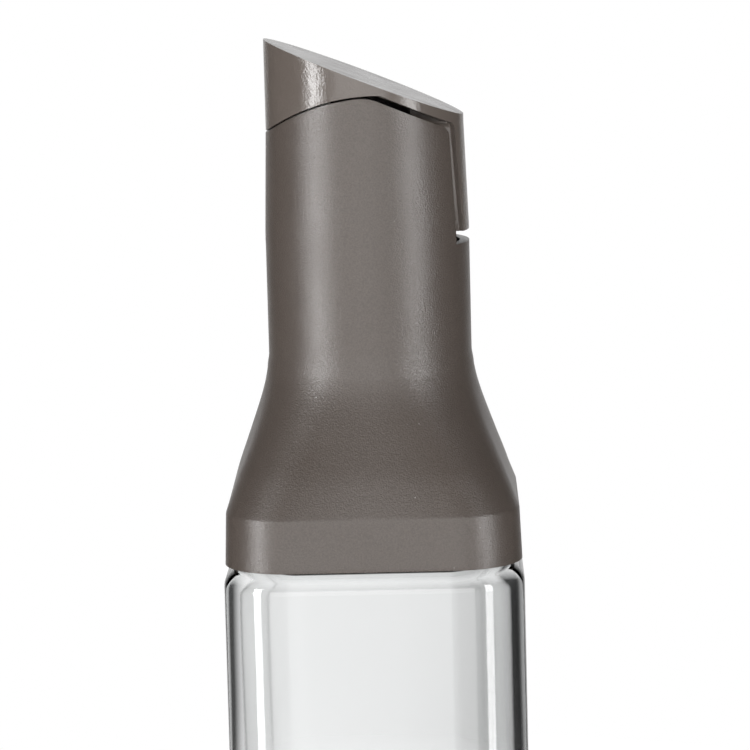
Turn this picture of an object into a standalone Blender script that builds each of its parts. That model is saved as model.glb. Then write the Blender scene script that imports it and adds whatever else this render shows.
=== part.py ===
"""A square glass vinegar cruet with a moulded pourer hood and a lid that opens by its own counterweight.

Metres, +Z up. The pouring side faces -X. The origin is the centre of the footprint, on the table.
Run it with: blender --background --python part.py
"""

from math import acos, cos, pi, radians, sin, tan

import bmesh
import bpy
from mathutils import Matrix, Vector

# Mesh fineness, as counts
CORNER_POINTS = 14  # points on each quarter of a lofted ring
TURN_STEPS = 56
SMALL_STEPS = 36
FILLET_STEPS = 4
RIM_STEPS = 2
SEAM_STEPS = 14
BEND_STEPS = 7

# Clearances
SEAT_GAP = 0.0003  # between pieces that touch on the real object
HOOD_GAP = 0.0006  # the visible line between glass and hood
OVERRUN = 0.0040  # how far a cutter runs past what it cuts
WELD = 0.00001  # points closer than this become one

# Glass bottle
BOTTLE_HALF_BASE = 0.0312
BOTTLE_HALF_SHOULDER = 0.0309
BOTTLE_CORNER = 0.0140
BOTTLE_HEIGHT = 0.0884  # to the top of the shoulder
GLASS_WALL = 0.0030
GLASS_FLOOR = 0.0060
INNER_ROUND = 0.0030
BASE_ROUND = 0.0030
BASE_RING = 0.0035  # width of the flat ring that the bottle stands on
PUNT_DEPTH = 0.0010
PUNT_CORNER = 0.0080
SHOULDER_ROUND = 0.0042
NECK_RADIUS = 0.0160
NECK_WALL = 0.0032
NECK_ROOT = 0.0028
NECK_HEIGHT = 0.0186  # from the shoulder to the rim
RIM_ROUND = 0.0010

# Hood
HOOD_WALL = 0.0020
BAND_HALF_BOTTOM = 0.0307
BAND_HALF_TOP = 0.0303
BAND_CORNER = 0.0136
BAND_HEIGHT = 0.0107
FLARE_HEIGHT = 0.0285
FLARE_HEIGHT_SHARES = (0.14, 0.28, 0.45, 0.62, 0.74, 0.83, 0.91, 1.0)
FLARE_WIDTH_SHARES = (0.872, 0.735, 0.533, 0.333, 0.197, 0.107, 0.043, 0.0)
TOWER_RADIUS_BASE = 0.0216
TOWER_RADIUS_CREASE = 0.02125
TOWER_RADIUS_TOP = 0.02055
CREASE_SHARE = 0.50  # of the tower's height, where a faint crease runs round it
TAPER_SHARE = 0.88  # of the tower's height, where it stops tapering
HOOD_HEIGHT = 0.09585  # to the highest point of the seam under the lid

# Seam between hood and lid, seen from the side; drops are below the hood's height
SEAM_ARC_RADIUS = 0.0375
SEAM_ARC_X = 0.0023
SEAM_REAR_X = 0.01837
SEAM_REAR_DROP = 0.0066
SEAM_SLOPE = radians(24.07)
HOOD_ARC_DROP = 0.00045  # the thin gap under the front half of the lid
HOOD_REAR_DROP = 0.00140  # the open gap under its rear half
HOOD_KINK_RADIUS = 0.0090  # of the soft bend between the two
HOOD_REAR_X = 0.0176
HOOD_REAR_CORNER = 0.0030

# Window in the hood's rear wall, which the lid's skirt covers
WINDOW_DROP = 0.0315  # from the hood's height down to the sill
WINDOW_HALF_BOTTOM = 0.0104
WINDOW_HALF_TOP = 0.0109
SKIRT_NOTCH = 0.0024  # the slot left open under the skirt

# Lid
LID_WALL = 0.0018
LID_RISE = 0.00295  # of the slanted face over the hood's height, on the axis
LID_TOP_SLOPE = radians(21.77)
SKIRT_LAP = 0.0010  # how far the skirt runs up into the lid's edge
SKIRT_HALF_BOTTOM = 0.0071
SKIRT_HALF_TOP = 0.0086
SKIRT_ROOT = 0.0012  # the fillet from the skirt's sides to the lid's edge

# Hinge
HINGE_X = 0.0125
HINGE_DROP = 0.01035
PIN_RADIUS = 0.00125
PIN_HALF_LENGTH = 0.0130
BOSS_RADIUS = 0.0030

# Counterweight and its pocket in the lid
POCKET_FRONT_X = 0.0096
POCKET_DEPTH = 0.0072
POCKET_HALF_WIDTH = 0.0058
POCKET_HEIGHT = 0.0135
POCKET_FLOOR = 0.0015
POCKET_RIB = 0.0012
COVER_THICKNESS = 0.0010
WEIGHT_ROUND = 0.0004

# Inner collar, which plugs the glass and carries the hood
DECK_THICKNESS = 0.0016
DECK_FLAT_RADIUS = 0.0120
DECK_RISE = 0.0026
CUP_HEIGHT = 0.0236
CUP_WALL = 0.0016
SLEEVE_WALL = 0.0016
SLEEVE_GAP = 0.0005
SLEEVE_HEIGHT = 0.0158
PLUG_RADIUS = 0.0112
PLUG_WALL = 0.0016
PLUG_LENGTH = 0.0138
DRIP_HOLE_RADIUS = 0.0012
DRIP_HOLE_X = 0.0030
DRIP_HOLE_Y = 0.0060

# Seals
GASKET_THICKNESS = 0.0012
GASKET_INSET = 0.0002
SEAL_SLEEVE_WALL = 0.00055
SEAL_RIBS = 3
SEAL_MARGIN = 0.0006  # of plug left bare below the sleeve
LID_SEAL_RADIUS = 0.0056
LID_SEAL_THICKNESS = 0.0018
LID_SEAL_NUB_RADIUS = 0.0028
LID_SEAL_NUB_HEIGHT = 0.0010
LID_SEAL_NUB_TAPER = 0.0006
SEAL_POST_RADIUS = 0.0043

# Spout and air tube
SPOUT_RADIUS = 0.0050
SPOUT_BORE_RADIUS = 0.0038
SPOUT_X = -0.0040
SPOUT_TAIL = 0.0048  # below the deck's underside
SPOUT_MOUTH_X = -0.0120
SPOUT_MOUTH_DROP = 0.00485
SPOUT_TILT = radians(20)
SPOUT_BEND_RADIUS = 0.0500
SPOUT_LIP_SHARE = 1.12
SPOUT_FLANGE_RADIUS = 0.0062
SPOUT_FLANGE_THICKNESS = 0.0012
AIR_TUBE_RADIUS = 0.0022
AIR_TUBE_BORE_RADIUS = 0.0013
AIR_TUBE_X = 0.0070
AIR_TUBE_TAIL = 0.0108
AIR_TUBE_RISE = 0.0296

# Heights worked out from the sizes above
RIM_Z = BOTTLE_HEIGHT + NECK_HEIGHT
HOOD_Z = BOTTLE_HEIGHT + HOOD_GAP
FLARE_Z = HOOD_Z + BAND_HEIGHT
TOWER_Z = FLARE_Z + FLARE_HEIGHT
APEX_Z = HOOD_Z + HOOD_HEIGHT
CREASE_Z = TOWER_Z + (APEX_Z - TOWER_Z) * CREASE_SHARE
TAPER_Z = TOWER_Z + (APEX_Z - TOWER_Z) * TAPER_SHARE
HINGE_Z = APEX_Z - HINGE_DROP
SILL_Z = APEX_Z - WINDOW_DROP
SKIRT_Z = SILL_Z + SKIRT_NOTCH
SEAM_REAR_Z = APEX_Z - SEAM_REAR_DROP
SEAM_ARC_Z = APEX_Z - SEAM_ARC_RADIUS
LID_TOP_Z = APEX_Z + LID_RISE
GASKET_Z = RIM_Z + SEAT_GAP
DECK_Z = GASKET_Z + GASKET_THICKNESS + SEAT_GAP
DECK_TOP_Z = DECK_Z + DECK_THICKNESS
PLUG_Z = DECK_Z - PLUG_LENGTH
MOUTH_Z = APEX_Z - SPOUT_MOUTH_DROP
POCKET_Z = SKIRT_Z + POCKET_FLOOR
POCKET_TOP_Z = POCKET_Z + POCKET_HEIGHT
REACH = TOWER_RADIUS_BASE + OVERRUN
SUMMIT_Z = LID_TOP_Z + REACH * tan(LID_TOP_SLOPE)


def clear_scene():
    for found in list(bpy.data.objects):
        bpy.data.objects.remove(found, do_unlink=True)


def new_collection(name):
    made = bpy.data.collections.new(name)
    bpy.context.scene.collection.children.link(made)
    return made


def new_material(name, colour, roughness, metallic=0.0, transmission=0.0):
    made = bpy.data.materials.new(name)
    made.use_nodes = True
    shader = made.node_tree.nodes["Principled BSDF"]
    shader.inputs["Base Color"].default_value = (*colour, 1.0)
    shader.inputs["Roughness"].default_value = roughness
    shader.inputs["Metallic"].default_value = metallic
    shader.inputs["Transmission Weight"].default_value = transmission
    return made


clear_scene()
PARTS = new_collection("vinegar_cruet")
CUTTERS = new_collection("cutters")
CUTTERS.hide_render = True
GLASS = new_material("clear_glass", (0.93, 0.94, 0.94), 0.02, transmission=1.0)
HOOD_PLASTIC = new_material("taupe_satin_plastic", (0.160, 0.139, 0.130), 0.42)
LID_PLASTIC = new_material("taupe_gloss_plastic", (0.160, 0.139, 0.130), 0.22)
INNER_PLASTIC = new_material("natural_plastic", (0.78, 0.77, 0.74), 0.35)
SILICONE = new_material("clear_silicone", (0.80, 0.80, 0.78), 0.50)
STEEL = new_material("stainless_steel", (0.62, 0.61, 0.60), 0.28, metallic=1.0)


def add_object(name, mesh, where):
    made = bpy.data.objects.new(name, mesh)
    where.objects.link(made)
    if where is CUTTERS:
        made.hide_render = True
        made.display_type = "WIRE"
    return made


def finish(piece, look, sharp=radians(32)):
    """Gives a piece its material and smooth shading."""
    piece.data.materials.clear()
    piece.data.materials.append(look)
    piece.data.shade_smooth()
    piece.data.set_sharp_from_angle(angle=sharp)
    return piece


def boolean(target, operation, *others):
    for other in others:
        change = target.modifiers.new(f"{operation.lower()} {other.name}", "BOOLEAN")
        change.operation = operation
        change.object = other
    return target


def arc(centre_x, centre_z, radius, start, end, steps=FILLET_STEPS):
    """Points (x, z) on a circle from one angle to another."""
    angles = [start + (end - start) * step / steps for step in range(steps + 1)]
    return [(centre_x + radius * cos(a), centre_z + radius * sin(a)) for a in angles]


def ring(half_width, corner, roundness, z):
    """A closed ring: a square with round corners that blends into a circle as roundness nears 1."""
    points = []
    for quarter in range(4):
        turn = Matrix.Rotation(pi / 2 * quarter, 3, "Z")
        for step in range(CORNER_POINTS):
            angle = pi / 2 * (step + 0.5) / CORNER_POINTS
            across, along = cos(angle), sin(angle)
            square = Vector((half_width - corner + corner * across, half_width - corner + corner * along, z))
            circle = Vector((half_width * across, half_width * along, z))
            points.append(turn @ square.lerp(circle, roundness))
    return points


def square_rings(line, half_width, corner):
    """Square rings through (half width, z) points, whose corners keep one centre."""
    return [ring(x, corner - (half_width - x), 0.0, z) for x, z in line]


def round_rings(line):
    return [ring(x, x, 1.0, z) for x, z in line]


def loft(name, rings, where):
    """One closed solid through rings of equal point counts, capped at its first and last ring."""
    solid = bmesh.new()
    loops = [[solid.verts.new(point) for point in points] for points in rings]
    count = len(loops[0])
    for low, high in zip(loops, loops[1:]):
        for i in range(count):
            j = (i + 1) % count
            solid.faces.new((low[i], low[j], high[j], high[i]))
    solid.faces.new(loops[0][::-1])
    solid.faces.new(loops[-1])
    mesh = bpy.data.meshes.new(name)
    solid.to_mesh(mesh)
    solid.free()
    return add_object(name, mesh, where)


def turned(name, profile, where, steps=TURN_STEPS, closed=False):
    """An (x, z) profile, down its outer side, screwed round the Z axis."""
    mesh = bpy.data.meshes.new(name)
    edges = [(i, i + 1) for i in range(len(profile) - 1)]
    if closed:
        edges.append((len(profile) - 1, 0))
    mesh.from_pydata([(x, 0.0, z) for x, z in profile], edges, [])
    made = add_object(name, mesh, where)
    screw = made.modifiers.new("Screw", "SCREW")
    screw.steps = screw.render_steps = steps
    screw.use_merge_vertices = True
    screw.merge_threshold = WELD
    screw.use_smooth_shade = True
    return made


def mesh_of(curve, name):
    """The evaluated mesh of a curve, with its caps welded."""
    shape = bpy.data.objects.new(name, curve)
    PARTS.objects.link(shape)
    graph = bpy.context.evaluated_depsgraph_get()
    mesh = bpy.data.meshes.new_from_object(shape.evaluated_get(graph))
    welded = bmesh.new()
    welded.from_mesh(mesh)
    bmesh.ops.remove_doubles(welded, verts=welded.verts, dist=WELD)
    bmesh.ops.recalc_face_normals(welded, faces=welded.faces)
    welded.to_mesh(mesh)
    welded.free()
    bpy.data.objects.remove(shape, do_unlink=True)
    return mesh


def prism(name, outline, low, high, axis, where):
    """A flat outline given depth: drawn in XZ and extruded along Y, or drawn in YZ and extruded along X."""
    curve = bpy.data.curves.new(name, "CURVE")
    curve.dimensions = "2D"
    curve.fill_mode = "BOTH"
    curve.extrude = (high - low) / 2
    spline = curve.splines.new("POLY")
    spline.points.add(len(outline) - 1)
    for point, (across, up) in zip(spline.points, outline):
        point.co = (across, up, 0.0, 1.0)
    spline.use_cyclic_u = True
    mesh = mesh_of(curve, name)
    stand = Matrix.Rotation(pi / 2, 4, "X")
    if axis == "X":
        stand = Matrix.Rotation(pi / 2, 4, "Z") @ stand
    offset = Vector((1.0, 0.0, 0.0)) if axis == "X" else Vector((0.0, 1.0, 0.0))
    mesh.transform(Matrix.Translation(offset * (low + high) / 2) @ stand)
    return add_object(name, mesh, where)


def bar(name, path, radius, where, end_share=1.0):
    """A round bar along (x, z) points, whose last point is wider where end_share is over 1."""
    curve = bpy.data.curves.new(name, "CURVE")
    curve.dimensions = "3D"
    curve.bevel_depth = radius
    curve.bevel_resolution = 4
    curve.use_fill_caps = True
    spline = curve.splines.new("POLY")
    spline.points.add(len(path) - 1)
    for point, (x, z) in zip(spline.points, path):
        point.co = (x, 0.0, z, 1.0)
    spline.points[-1].radius = end_share
    return add_object(name, mesh_of(curve, name), where)


def rod(name, radius, start, end, where, steps=SMALL_STEPS):
    """A cylinder between two points."""
    start, end = Vector(start), Vector(end)
    span = end - start
    solid = bmesh.new()
    size = {"radius1": radius, "radius2": radius, "depth": span.length}
    bmesh.ops.create_cone(solid, cap_ends=True, segments=steps, **size)
    turn = span.to_track_quat("Z", "Y").to_matrix().to_4x4()
    bmesh.ops.transform(solid, matrix=Matrix.Translation((start + end) / 2) @ turn, verts=solid.verts)
    mesh = bpy.data.meshes.new(name)
    solid.to_mesh(mesh)
    solid.free()
    return add_object(name, mesh, where)


def block(name, low, high, where, edge_round=0.0):
    """A box between two corners, its edges rounded by a Bevel where edge_round is over 0."""
    low, high = Vector(low), Vector(high)
    solid = bmesh.new()
    bmesh.ops.create_cube(solid, size=1.0)
    bmesh.ops.scale(solid, vec=high - low, verts=solid.verts)
    bmesh.ops.translate(solid, vec=(low + high) / 2, verts=solid.verts)
    mesh = bpy.data.meshes.new(name)
    solid.to_mesh(mesh)
    solid.free()
    made = add_object(name, mesh, where)
    if edge_round:
        bevel = made.modifiers.new("Bevel", "BEVEL")
        bevel.width = edge_round
        bevel.segments = 3
    return made


def tower_radius(z):
    """The radius of the round tower that hood and lid share."""
    if z >= TAPER_Z:
        return TOWER_RADIUS_TOP
    if z >= CREASE_Z:
        share = (z - CREASE_Z) / (TAPER_Z - CREASE_Z)
        return TOWER_RADIUS_CREASE + (TOWER_RADIUS_TOP - TOWER_RADIUS_CREASE) * share
    share = (z - TOWER_Z) / (CREASE_Z - TOWER_Z)
    return TOWER_RADIUS_BASE + (TOWER_RADIUS_CREASE - TOWER_RADIUS_BASE) * share


def tower(name, inset, bottom, top):
    """A solid of the tower's outer form, moved in by a wall, as a cutter."""
    between = [z for z in (TAPER_Z, CREASE_Z) if bottom < z < top]
    side = [(tower_radius(z) - inset, z) for z in (top, *between, bottom)]
    return turned(name, [(0.0, top), *side, (0.0, bottom)], CUTTERS)


def seam_line(x):
    """The straight rear half of the lid's lower edge."""
    return SEAM_REAR_Z + (SEAM_REAR_X - x) * tan(SEAM_SLOPE)


def seam_arc(drop=0.0, rear_drop=0.0, kink=0.0):
    """The seam's front half, lowered by drop: an arc from in front of the tower to the line lowered by rear_drop.

    A kink over 0 is the radius that rounds the corner between the arc and the line.
    """
    radius, centre_z = SEAM_ARC_RADIUS, SEAM_ARC_Z - drop
    normal = Vector((sin(SEAM_SLOPE), cos(SEAM_SLOPE)))
    to_line = Vector((SEAM_REAR_X - SEAM_ARC_X, SEAM_REAR_Z - rear_drop - centre_z))
    front = acos((-REACH - SEAM_ARC_X) / radius)
    meet = pi / 2 - SEAM_SLOPE + acos((normal.dot(to_line) - kink) / (radius - kink))
    line = arc(SEAM_ARC_X, centre_z, radius, front, meet, SEAM_STEPS)
    if kink:
        bend_x = SEAM_ARC_X + (radius - kink) * cos(meet)
        bend_z = centre_z + (radius - kink) * sin(meet)
        line += arc(bend_x, bend_z, kink, meet, pi / 2 - SEAM_SLOPE)[1:]
    return line


def lid_plane(x, depth=0.0):
    """Height of the lid's slanted face at x, or of a plane that far below it."""
    return LID_TOP_Z - x * tan(LID_TOP_SLOPE) - depth / cos(LID_TOP_SLOPE)


def under_lid_plane(name, depth):
    low = SKIRT_Z - OVERRUN - OVERRUN
    outline = [(-REACH, low), (REACH, low), (REACH, lid_plane(REACH, depth)), (-REACH, lid_plane(-REACH, depth))]
    return prism(name, outline, -REACH, REACH, "Y", CUTTERS)


def both_sides(right):
    """A closed outline from its right half, given as (y, z) points from the bottom up."""
    return right + [(-y, z) for y, z in reversed(right)]


def window_outline():
    """The window seen from behind: it widens a little from the sill to the seam, then runs straight up."""
    return both_sides([(WINDOW_HALF_BOTTOM, SILL_Z), (WINDOW_HALF_TOP, SEAM_REAR_Z), (WINDOW_HALF_TOP, SUMMIT_Z)])


def skirt_outline():
    """The skirt seen from behind: it widens upwards and runs into the lid's edge through a fillet."""
    root = arc(SKIRT_HALF_TOP + SKIRT_ROOT, SEAM_REAR_Z - SKIRT_ROOT, SKIRT_ROOT, pi, pi / 2)
    return both_sides([(SKIRT_HALF_BOTTOM, SKIRT_Z), *root, (SKIRT_HALF_TOP + SKIRT_ROOT, SUMMIT_Z)])


def pin_hole():
    radius = PIN_RADIUS + SEAT_GAP
    reach = PIN_HALF_LENGTH + SEAT_GAP
    return rod("pin_hole", radius, (HINGE_X, -reach, HINGE_Z), (HINGE_X, reach, HINGE_Z), CUTTERS)


def glass_bottle():
    """One loft from the punt, out and up the outside, over the rim and down the inside to the floor."""
    right = pi / 2
    ring_inner = BOTTLE_HALF_BASE - BASE_ROUND - BASE_RING
    base = arc(BOTTLE_HALF_BASE - BASE_ROUND, BASE_ROUND, BASE_ROUND, -right, 0.0)
    shoulder_z = BOTTLE_HEIGHT - SHOULDER_ROUND
    shoulder = arc(BOTTLE_HALF_SHOULDER - SHOULDER_ROUND, shoulder_z, SHOULDER_ROUND, 0.0, right)
    root = arc(NECK_RADIUS + NECK_ROOT, BOTTLE_HEIGHT + NECK_ROOT, NECK_ROOT, -right, -pi)
    bore = NECK_RADIUS - NECK_WALL
    rim_z = RIM_Z - RIM_ROUND
    rim = arc(NECK_RADIUS - RIM_ROUND, rim_z, RIM_ROUND, 0.0, right, RIM_STEPS)
    rim += arc(bore + RIM_ROUND, rim_z, RIM_ROUND, right, pi, RIM_STEPS)
    ceiling = BOTTLE_HEIGHT - GLASS_WALL
    inner_root = arc(bore + NECK_ROOT, ceiling + NECK_ROOT, NECK_ROOT, pi, pi + right)
    top_half = BOTTLE_HALF_SHOULDER - GLASS_WALL
    low_half = BOTTLE_HALF_BASE - GLASS_WALL
    inner_shoulder = arc(top_half - INNER_ROUND, ceiling - INNER_ROUND, INNER_ROUND, right, 0.0)
    inner_base = arc(low_half - INNER_ROUND, GLASS_FLOOR + INNER_ROUND, INNER_ROUND, 0.0, -right)
    rings = [
        ring(ring_inner - PUNT_DEPTH, PUNT_CORNER, 0.0, PUNT_DEPTH),
        ring(ring_inner, PUNT_CORNER, 0.0, 0.0),
        *square_rings(base, BOTTLE_HALF_BASE, BOTTLE_CORNER),
        *square_rings(shoulder, BOTTLE_HALF_SHOULDER, BOTTLE_CORNER),
        *round_rings(root + rim + inner_root),
        *square_rings(inner_shoulder, top_half, BOTTLE_CORNER - GLASS_WALL),
        *square_rings(inner_base, low_half, BOTTLE_CORNER - GLASS_WALL),
    ]
    return finish(loft("glass_bottle", rings, PARTS), GLASS)


def hood_rings(inset, bottom, top):
    """The hood's form moved in by a wall: a square band, a flare that rounds into the tower, and the tower."""
    corner = BAND_CORNER - inset
    rings = [
        ring(BAND_HALF_BOTTOM - inset, corner, 0.0, bottom),
        ring(BAND_HALF_TOP - inset, corner, 0.0, FLARE_Z),
    ]
    for height_share, width_share in zip(FLARE_HEIGHT_SHARES, FLARE_WIDTH_SHARES):
        half = TOWER_RADIUS_BASE + (BAND_HALF_TOP - TOWER_RADIUS_BASE) * width_share
        roundness = height_share * TOWER_RADIUS_BASE / half
        rings.append(ring(half - inset, corner, roundness, FLARE_Z + FLARE_HEIGHT * height_share))
    for z in (CREASE_Z, TAPER_Z, top):
        rings.append(ring(tower_radius(z) - inset, corner, 1.0, z))
    return rings


def hood_top_cutter():
    """All that lies above the hood's upper edge: under the lid's arc, down the rear line and round its corner."""
    line = seam_arc(HOOD_ARC_DROP, HOOD_REAR_DROP, HOOD_KINK_RADIUS)
    tangent = HOOD_REAR_CORNER * tan((pi / 2 - SEAM_SLOPE) / 2)
    corner_x = HOOD_REAR_X - HOOD_REAR_CORNER
    corner_z = seam_line(HOOD_REAR_X) - HOOD_REAR_DROP - tangent
    line += arc(corner_x, corner_z, HOOD_REAR_CORNER, pi / 2 - SEAM_SLOPE, 0.0, FILLET_STEPS * 2)
    line += [(REACH, corner_z), (REACH, SUMMIT_Z + OVERRUN), (-REACH, SUMMIT_Z + OVERRUN)]
    return prism("hood_top_cutter", line, -REACH, REACH, "Y", CUTTERS)


def hinge_bosses():
    """The two blind bosses inside the hood's cheeks, kept within its wall."""
    limit = tower("boss_limit", HOOD_WALL / 2, SILL_Z, SUMMIT_Z)
    bosses = []
    for side, name in ((-1, "boss_front"), (1, "boss_back")):
        start = (HINGE_X, side * WINDOW_HALF_TOP, HINGE_Z)
        end = (HINGE_X, side * TOWER_RADIUS_TOP, HINGE_Z)
        bosses.append(boolean(rod(name, BOSS_RADIUS, start, end, CUTTERS), "INTERSECT", limit))
    return bosses


def hood():
    shell = loft("hood", hood_rings(0.0, HOOD_Z, SUMMIT_Z), PARTS)
    hollow = loft("hood_hollow", hood_rings(HOOD_WALL, HOOD_Z - OVERRUN, SUMMIT_Z + OVERRUN), CUTTERS)
    window = prism("hood_window", window_outline(), HINGE_X, REACH, "X", CUTTERS)
    boolean(shell, "DIFFERENCE", hollow)
    boolean(shell, "UNION", *hinge_bosses())
    boolean(shell, "DIFFERENCE", hood_top_cutter(), window, pin_hole())
    return finish(shell, HOOD_PLASTIC)


def lid_form():
    """Everything between the seam and the slanted face, with the skirt that hangs over the hood's window."""
    edge = seam_arc() + [(REACH, seam_line(REACH))]
    top = [(REACH, lid_plane(REACH)), (-REACH, lid_plane(-REACH))]
    form = prism("lid_form", edge + top, -REACH, REACH, "Y", CUTTERS)
    skirt_top = [(REACH, seam_line(REACH) + SKIRT_LAP), (HINGE_X, seam_line(HINGE_X) + SKIRT_LAP)]
    outline = [(HINGE_X, SKIRT_Z), (REACH, SKIRT_Z), *skirt_top]
    skirt = prism("skirt_form", outline, -REACH, REACH, "Y", CUTTERS)
    sides = prism("skirt_sides", skirt_outline(), 0.0, REACH, "X", CUTTERS)
    boolean(skirt, "INTERSECT", sides)
    return boolean(form, "UNION", skirt), sides


def spout_axis(distance):
    """The point that far beyond the spout's mouth along its tilted axis."""
    return (SPOUT_MOUTH_X - distance * sin(SPOUT_TILT), 0.0, MOUTH_Z + distance * cos(SPOUT_TILT))


def lid_core(sides):
    """The lid's inside: two ears with a pocket for the counterweight between them, and the post of the seal."""
    low, high = SKIRT_Z - OVERRUN, SUMMIT_Z
    outline = [(POCKET_FRONT_X, SKIRT_Z), (REACH, SKIRT_Z), (REACH, high), (POCKET_FRONT_X, high)]
    core = prism("lid_core", outline, -REACH, REACH, "Y", CUTTERS)
    front, rear = POCKET_FRONT_X - OVERRUN, POCKET_FRONT_X + POCKET_DEPTH
    half = POCKET_HALF_WIDTH
    pocket = block("pocket", (front, -half, POCKET_Z), (rear, half, POCKET_TOP_Z), CUTTERS)
    hollow_z = POCKET_TOP_Z + POCKET_RIB
    hollow = block("ear_hollow", (front, -half, hollow_z), (rear, half, high + OVERRUN), CUTTERS)
    post_start = spout_axis(SEAT_GAP + LID_SEAL_THICKNESS + SEAT_GAP)
    post = rod("seal_post", SEAL_POST_RADIUS, post_start, spout_axis(REACH), CUTTERS)
    limit = tower("core_limit", LID_WALL / 2, low, high)
    boolean(limit, "INTERSECT", under_lid_plane("core_ceiling", LID_WALL / 2))
    boolean(core, "INTERSECT", sides)
    boolean(core, "DIFFERENCE", pocket, hollow)
    boolean(core, "UNION", post)
    return boolean(core, "INTERSECT", limit)


def lid():
    form, sides = lid_form()
    low = SKIRT_Z - OVERRUN
    side = [(tower_radius(z), z) for z in (SUMMIT_Z, TAPER_Z, low)]
    shell = turned("lid", [(0.0, SUMMIT_Z), *side, (0.0, low)], PARTS)
    hollow = tower("lid_hollow", LID_WALL, low - OVERRUN, SUMMIT_Z)
    boolean(hollow, "INTERSECT", under_lid_plane("lid_ceiling", LID_WALL))
    boolean(shell, "INTERSECT", form)
    boolean(shell, "DIFFERENCE", hollow)
    boolean(shell, "UNION", lid_core(sides))
    boolean(shell, "DIFFERENCE", bpy.data.objects["pin_hole"])
    return finish(shell, LID_PLASTIC)


def lid_seal():
    """The silicone disc under the lid, with a tapered nub that enters the spout's mouth."""
    base, top = SEAT_GAP, SEAT_GAP + LID_SEAL_THICKNESS
    nub_z = base - LID_SEAL_NUB_HEIGHT
    profile = [
        (0.0, top),
        (LID_SEAL_RADIUS, top),
        (LID_SEAL_RADIUS, base),
        (LID_SEAL_NUB_RADIUS, base),
        (LID_SEAL_NUB_RADIUS - LID_SEAL_NUB_TAPER, nub_z),
        (0.0, nub_z),
    ]
    seal = turned("lid_seal", profile, PARTS, SMALL_STEPS)
    seal.location = spout_axis(0.0)
    seal.rotation_euler = (0.0, -SPOUT_TILT, 0.0)
    return finish(seal, SILICONE)


def counterweight():
    front = POCKET_FRONT_X + COVER_THICKNESS + SEAT_GAP
    rear = POCKET_FRONT_X + POCKET_DEPTH - SEAT_GAP
    half = POCKET_HALF_WIDTH - SEAT_GAP
    low, high = POCKET_Z + SEAT_GAP, POCKET_TOP_Z - SEAT_GAP
    weight = block("counterweight", (front, -half, low), (rear, half, high), PARTS, WEIGHT_ROUND)
    return finish(weight, STEEL)


def weight_cover():
    half = POCKET_HALF_WIDTH - SEAT_GAP
    front, rear = POCKET_FRONT_X, POCKET_FRONT_X + COVER_THICKNESS
    low, high = POCKET_Z + SEAT_GAP, POCKET_TOP_Z - SEAT_GAP
    return finish(block("weight_cover", (front, -half, low), (rear, half, high), PARTS), LID_PLASTIC)


def hinge_pin():
    start, end = (HINGE_X, -PIN_HALF_LENGTH, HINGE_Z), (HINGE_X, PIN_HALF_LENGTH, HINGE_Z)
    return finish(rod("hinge_pin", PIN_RADIUS, start, end, PARTS, SMALL_STEPS // 2), STEEL)


def inner_collar():
    """A turned moulding: a cup that grips the hood, a deck that drains, a sleeve round the glass neck and a plug."""
    cup_top = DECK_TOP_Z + CUP_HEIGHT
    cup = tower_radius(cup_top) - HOOD_WALL - SEAT_GAP
    sleeve = NECK_RADIUS + SLEEVE_GAP
    sleeve_z = DECK_Z - SLEEVE_HEIGHT
    plug_inner = PLUG_RADIUS - PLUG_WALL
    profile = [
        (0.0, DECK_TOP_Z),
        (DECK_FLAT_RADIUS, DECK_TOP_Z),
        (cup - CUP_WALL, DECK_TOP_Z + DECK_RISE),
        (cup - CUP_WALL, cup_top),
        (cup, cup_top),
        (cup, DECK_TOP_Z),
        (sleeve + SLEEVE_WALL, DECK_Z),
        (sleeve + SLEEVE_WALL, sleeve_z),
        (sleeve, sleeve_z),
        (sleeve, DECK_Z),
        (PLUG_RADIUS, DECK_Z),
        (PLUG_RADIUS, PLUG_Z),
        (plug_inner, PLUG_Z),
        (plug_inner, DECK_Z),
        (0.0, DECK_Z),
    ]
    collar = turned("inner_collar", profile, PARTS)
    low, high = DECK_Z - OVERRUN, DECK_TOP_Z + OVERRUN
    holes = [
        ("spout_hole", SPOUT_RADIUS + SEAT_GAP, SPOUT_X, 0.0),
        ("air_hole", AIR_TUBE_RADIUS + SEAT_GAP, AIR_TUBE_X, 0.0),
        ("drip_hole_front", DRIP_HOLE_RADIUS, DRIP_HOLE_X, -DRIP_HOLE_Y),
        ("drip_hole_back", DRIP_HOLE_RADIUS, DRIP_HOLE_X, DRIP_HOLE_Y),
    ]
    for name, radius, x, y in holes:
        boolean(collar, "DIFFERENCE", rod(name, radius, (x, y, low), (x, y, high), CUTTERS))
    return finish(collar, INNER_PLASTIC)


def neck_gasket():
    inner = NECK_RADIUS - NECK_WALL + GASKET_INSET
    outer = NECK_RADIUS - GASKET_INSET
    top = GASKET_Z + GASKET_THICKNESS
    profile = [(outer, top), (outer, GASKET_Z), (inner, GASKET_Z), (inner, top)]
    return finish(turned("neck_gasket", profile, PARTS, closed=True), SILICONE)


def plug_seal():
    """A ribbed sleeve round the plug, whose ribs press on the inside of the glass neck."""
    inner = PLUG_RADIUS + SEAT_GAP
    body = inner + SEAL_SLEEVE_WALL
    rib = NECK_RADIUS - NECK_WALL - SEAT_GAP
    top, bottom = RIM_Z - RIM_ROUND, PLUG_Z + SEAL_MARGIN
    pitch = (top - bottom) / SEAL_RIBS
    outer = [(body, top)]
    for count in range(SEAL_RIBS):
        rib_top = top - pitch * count
        outer += [(rib, rib_top - pitch / 2), (body, rib_top - pitch)]
    return finish(turned("plug_seal", [*outer, (inner, bottom), (inner, top)], PARTS, closed=True), SILICONE)


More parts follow.
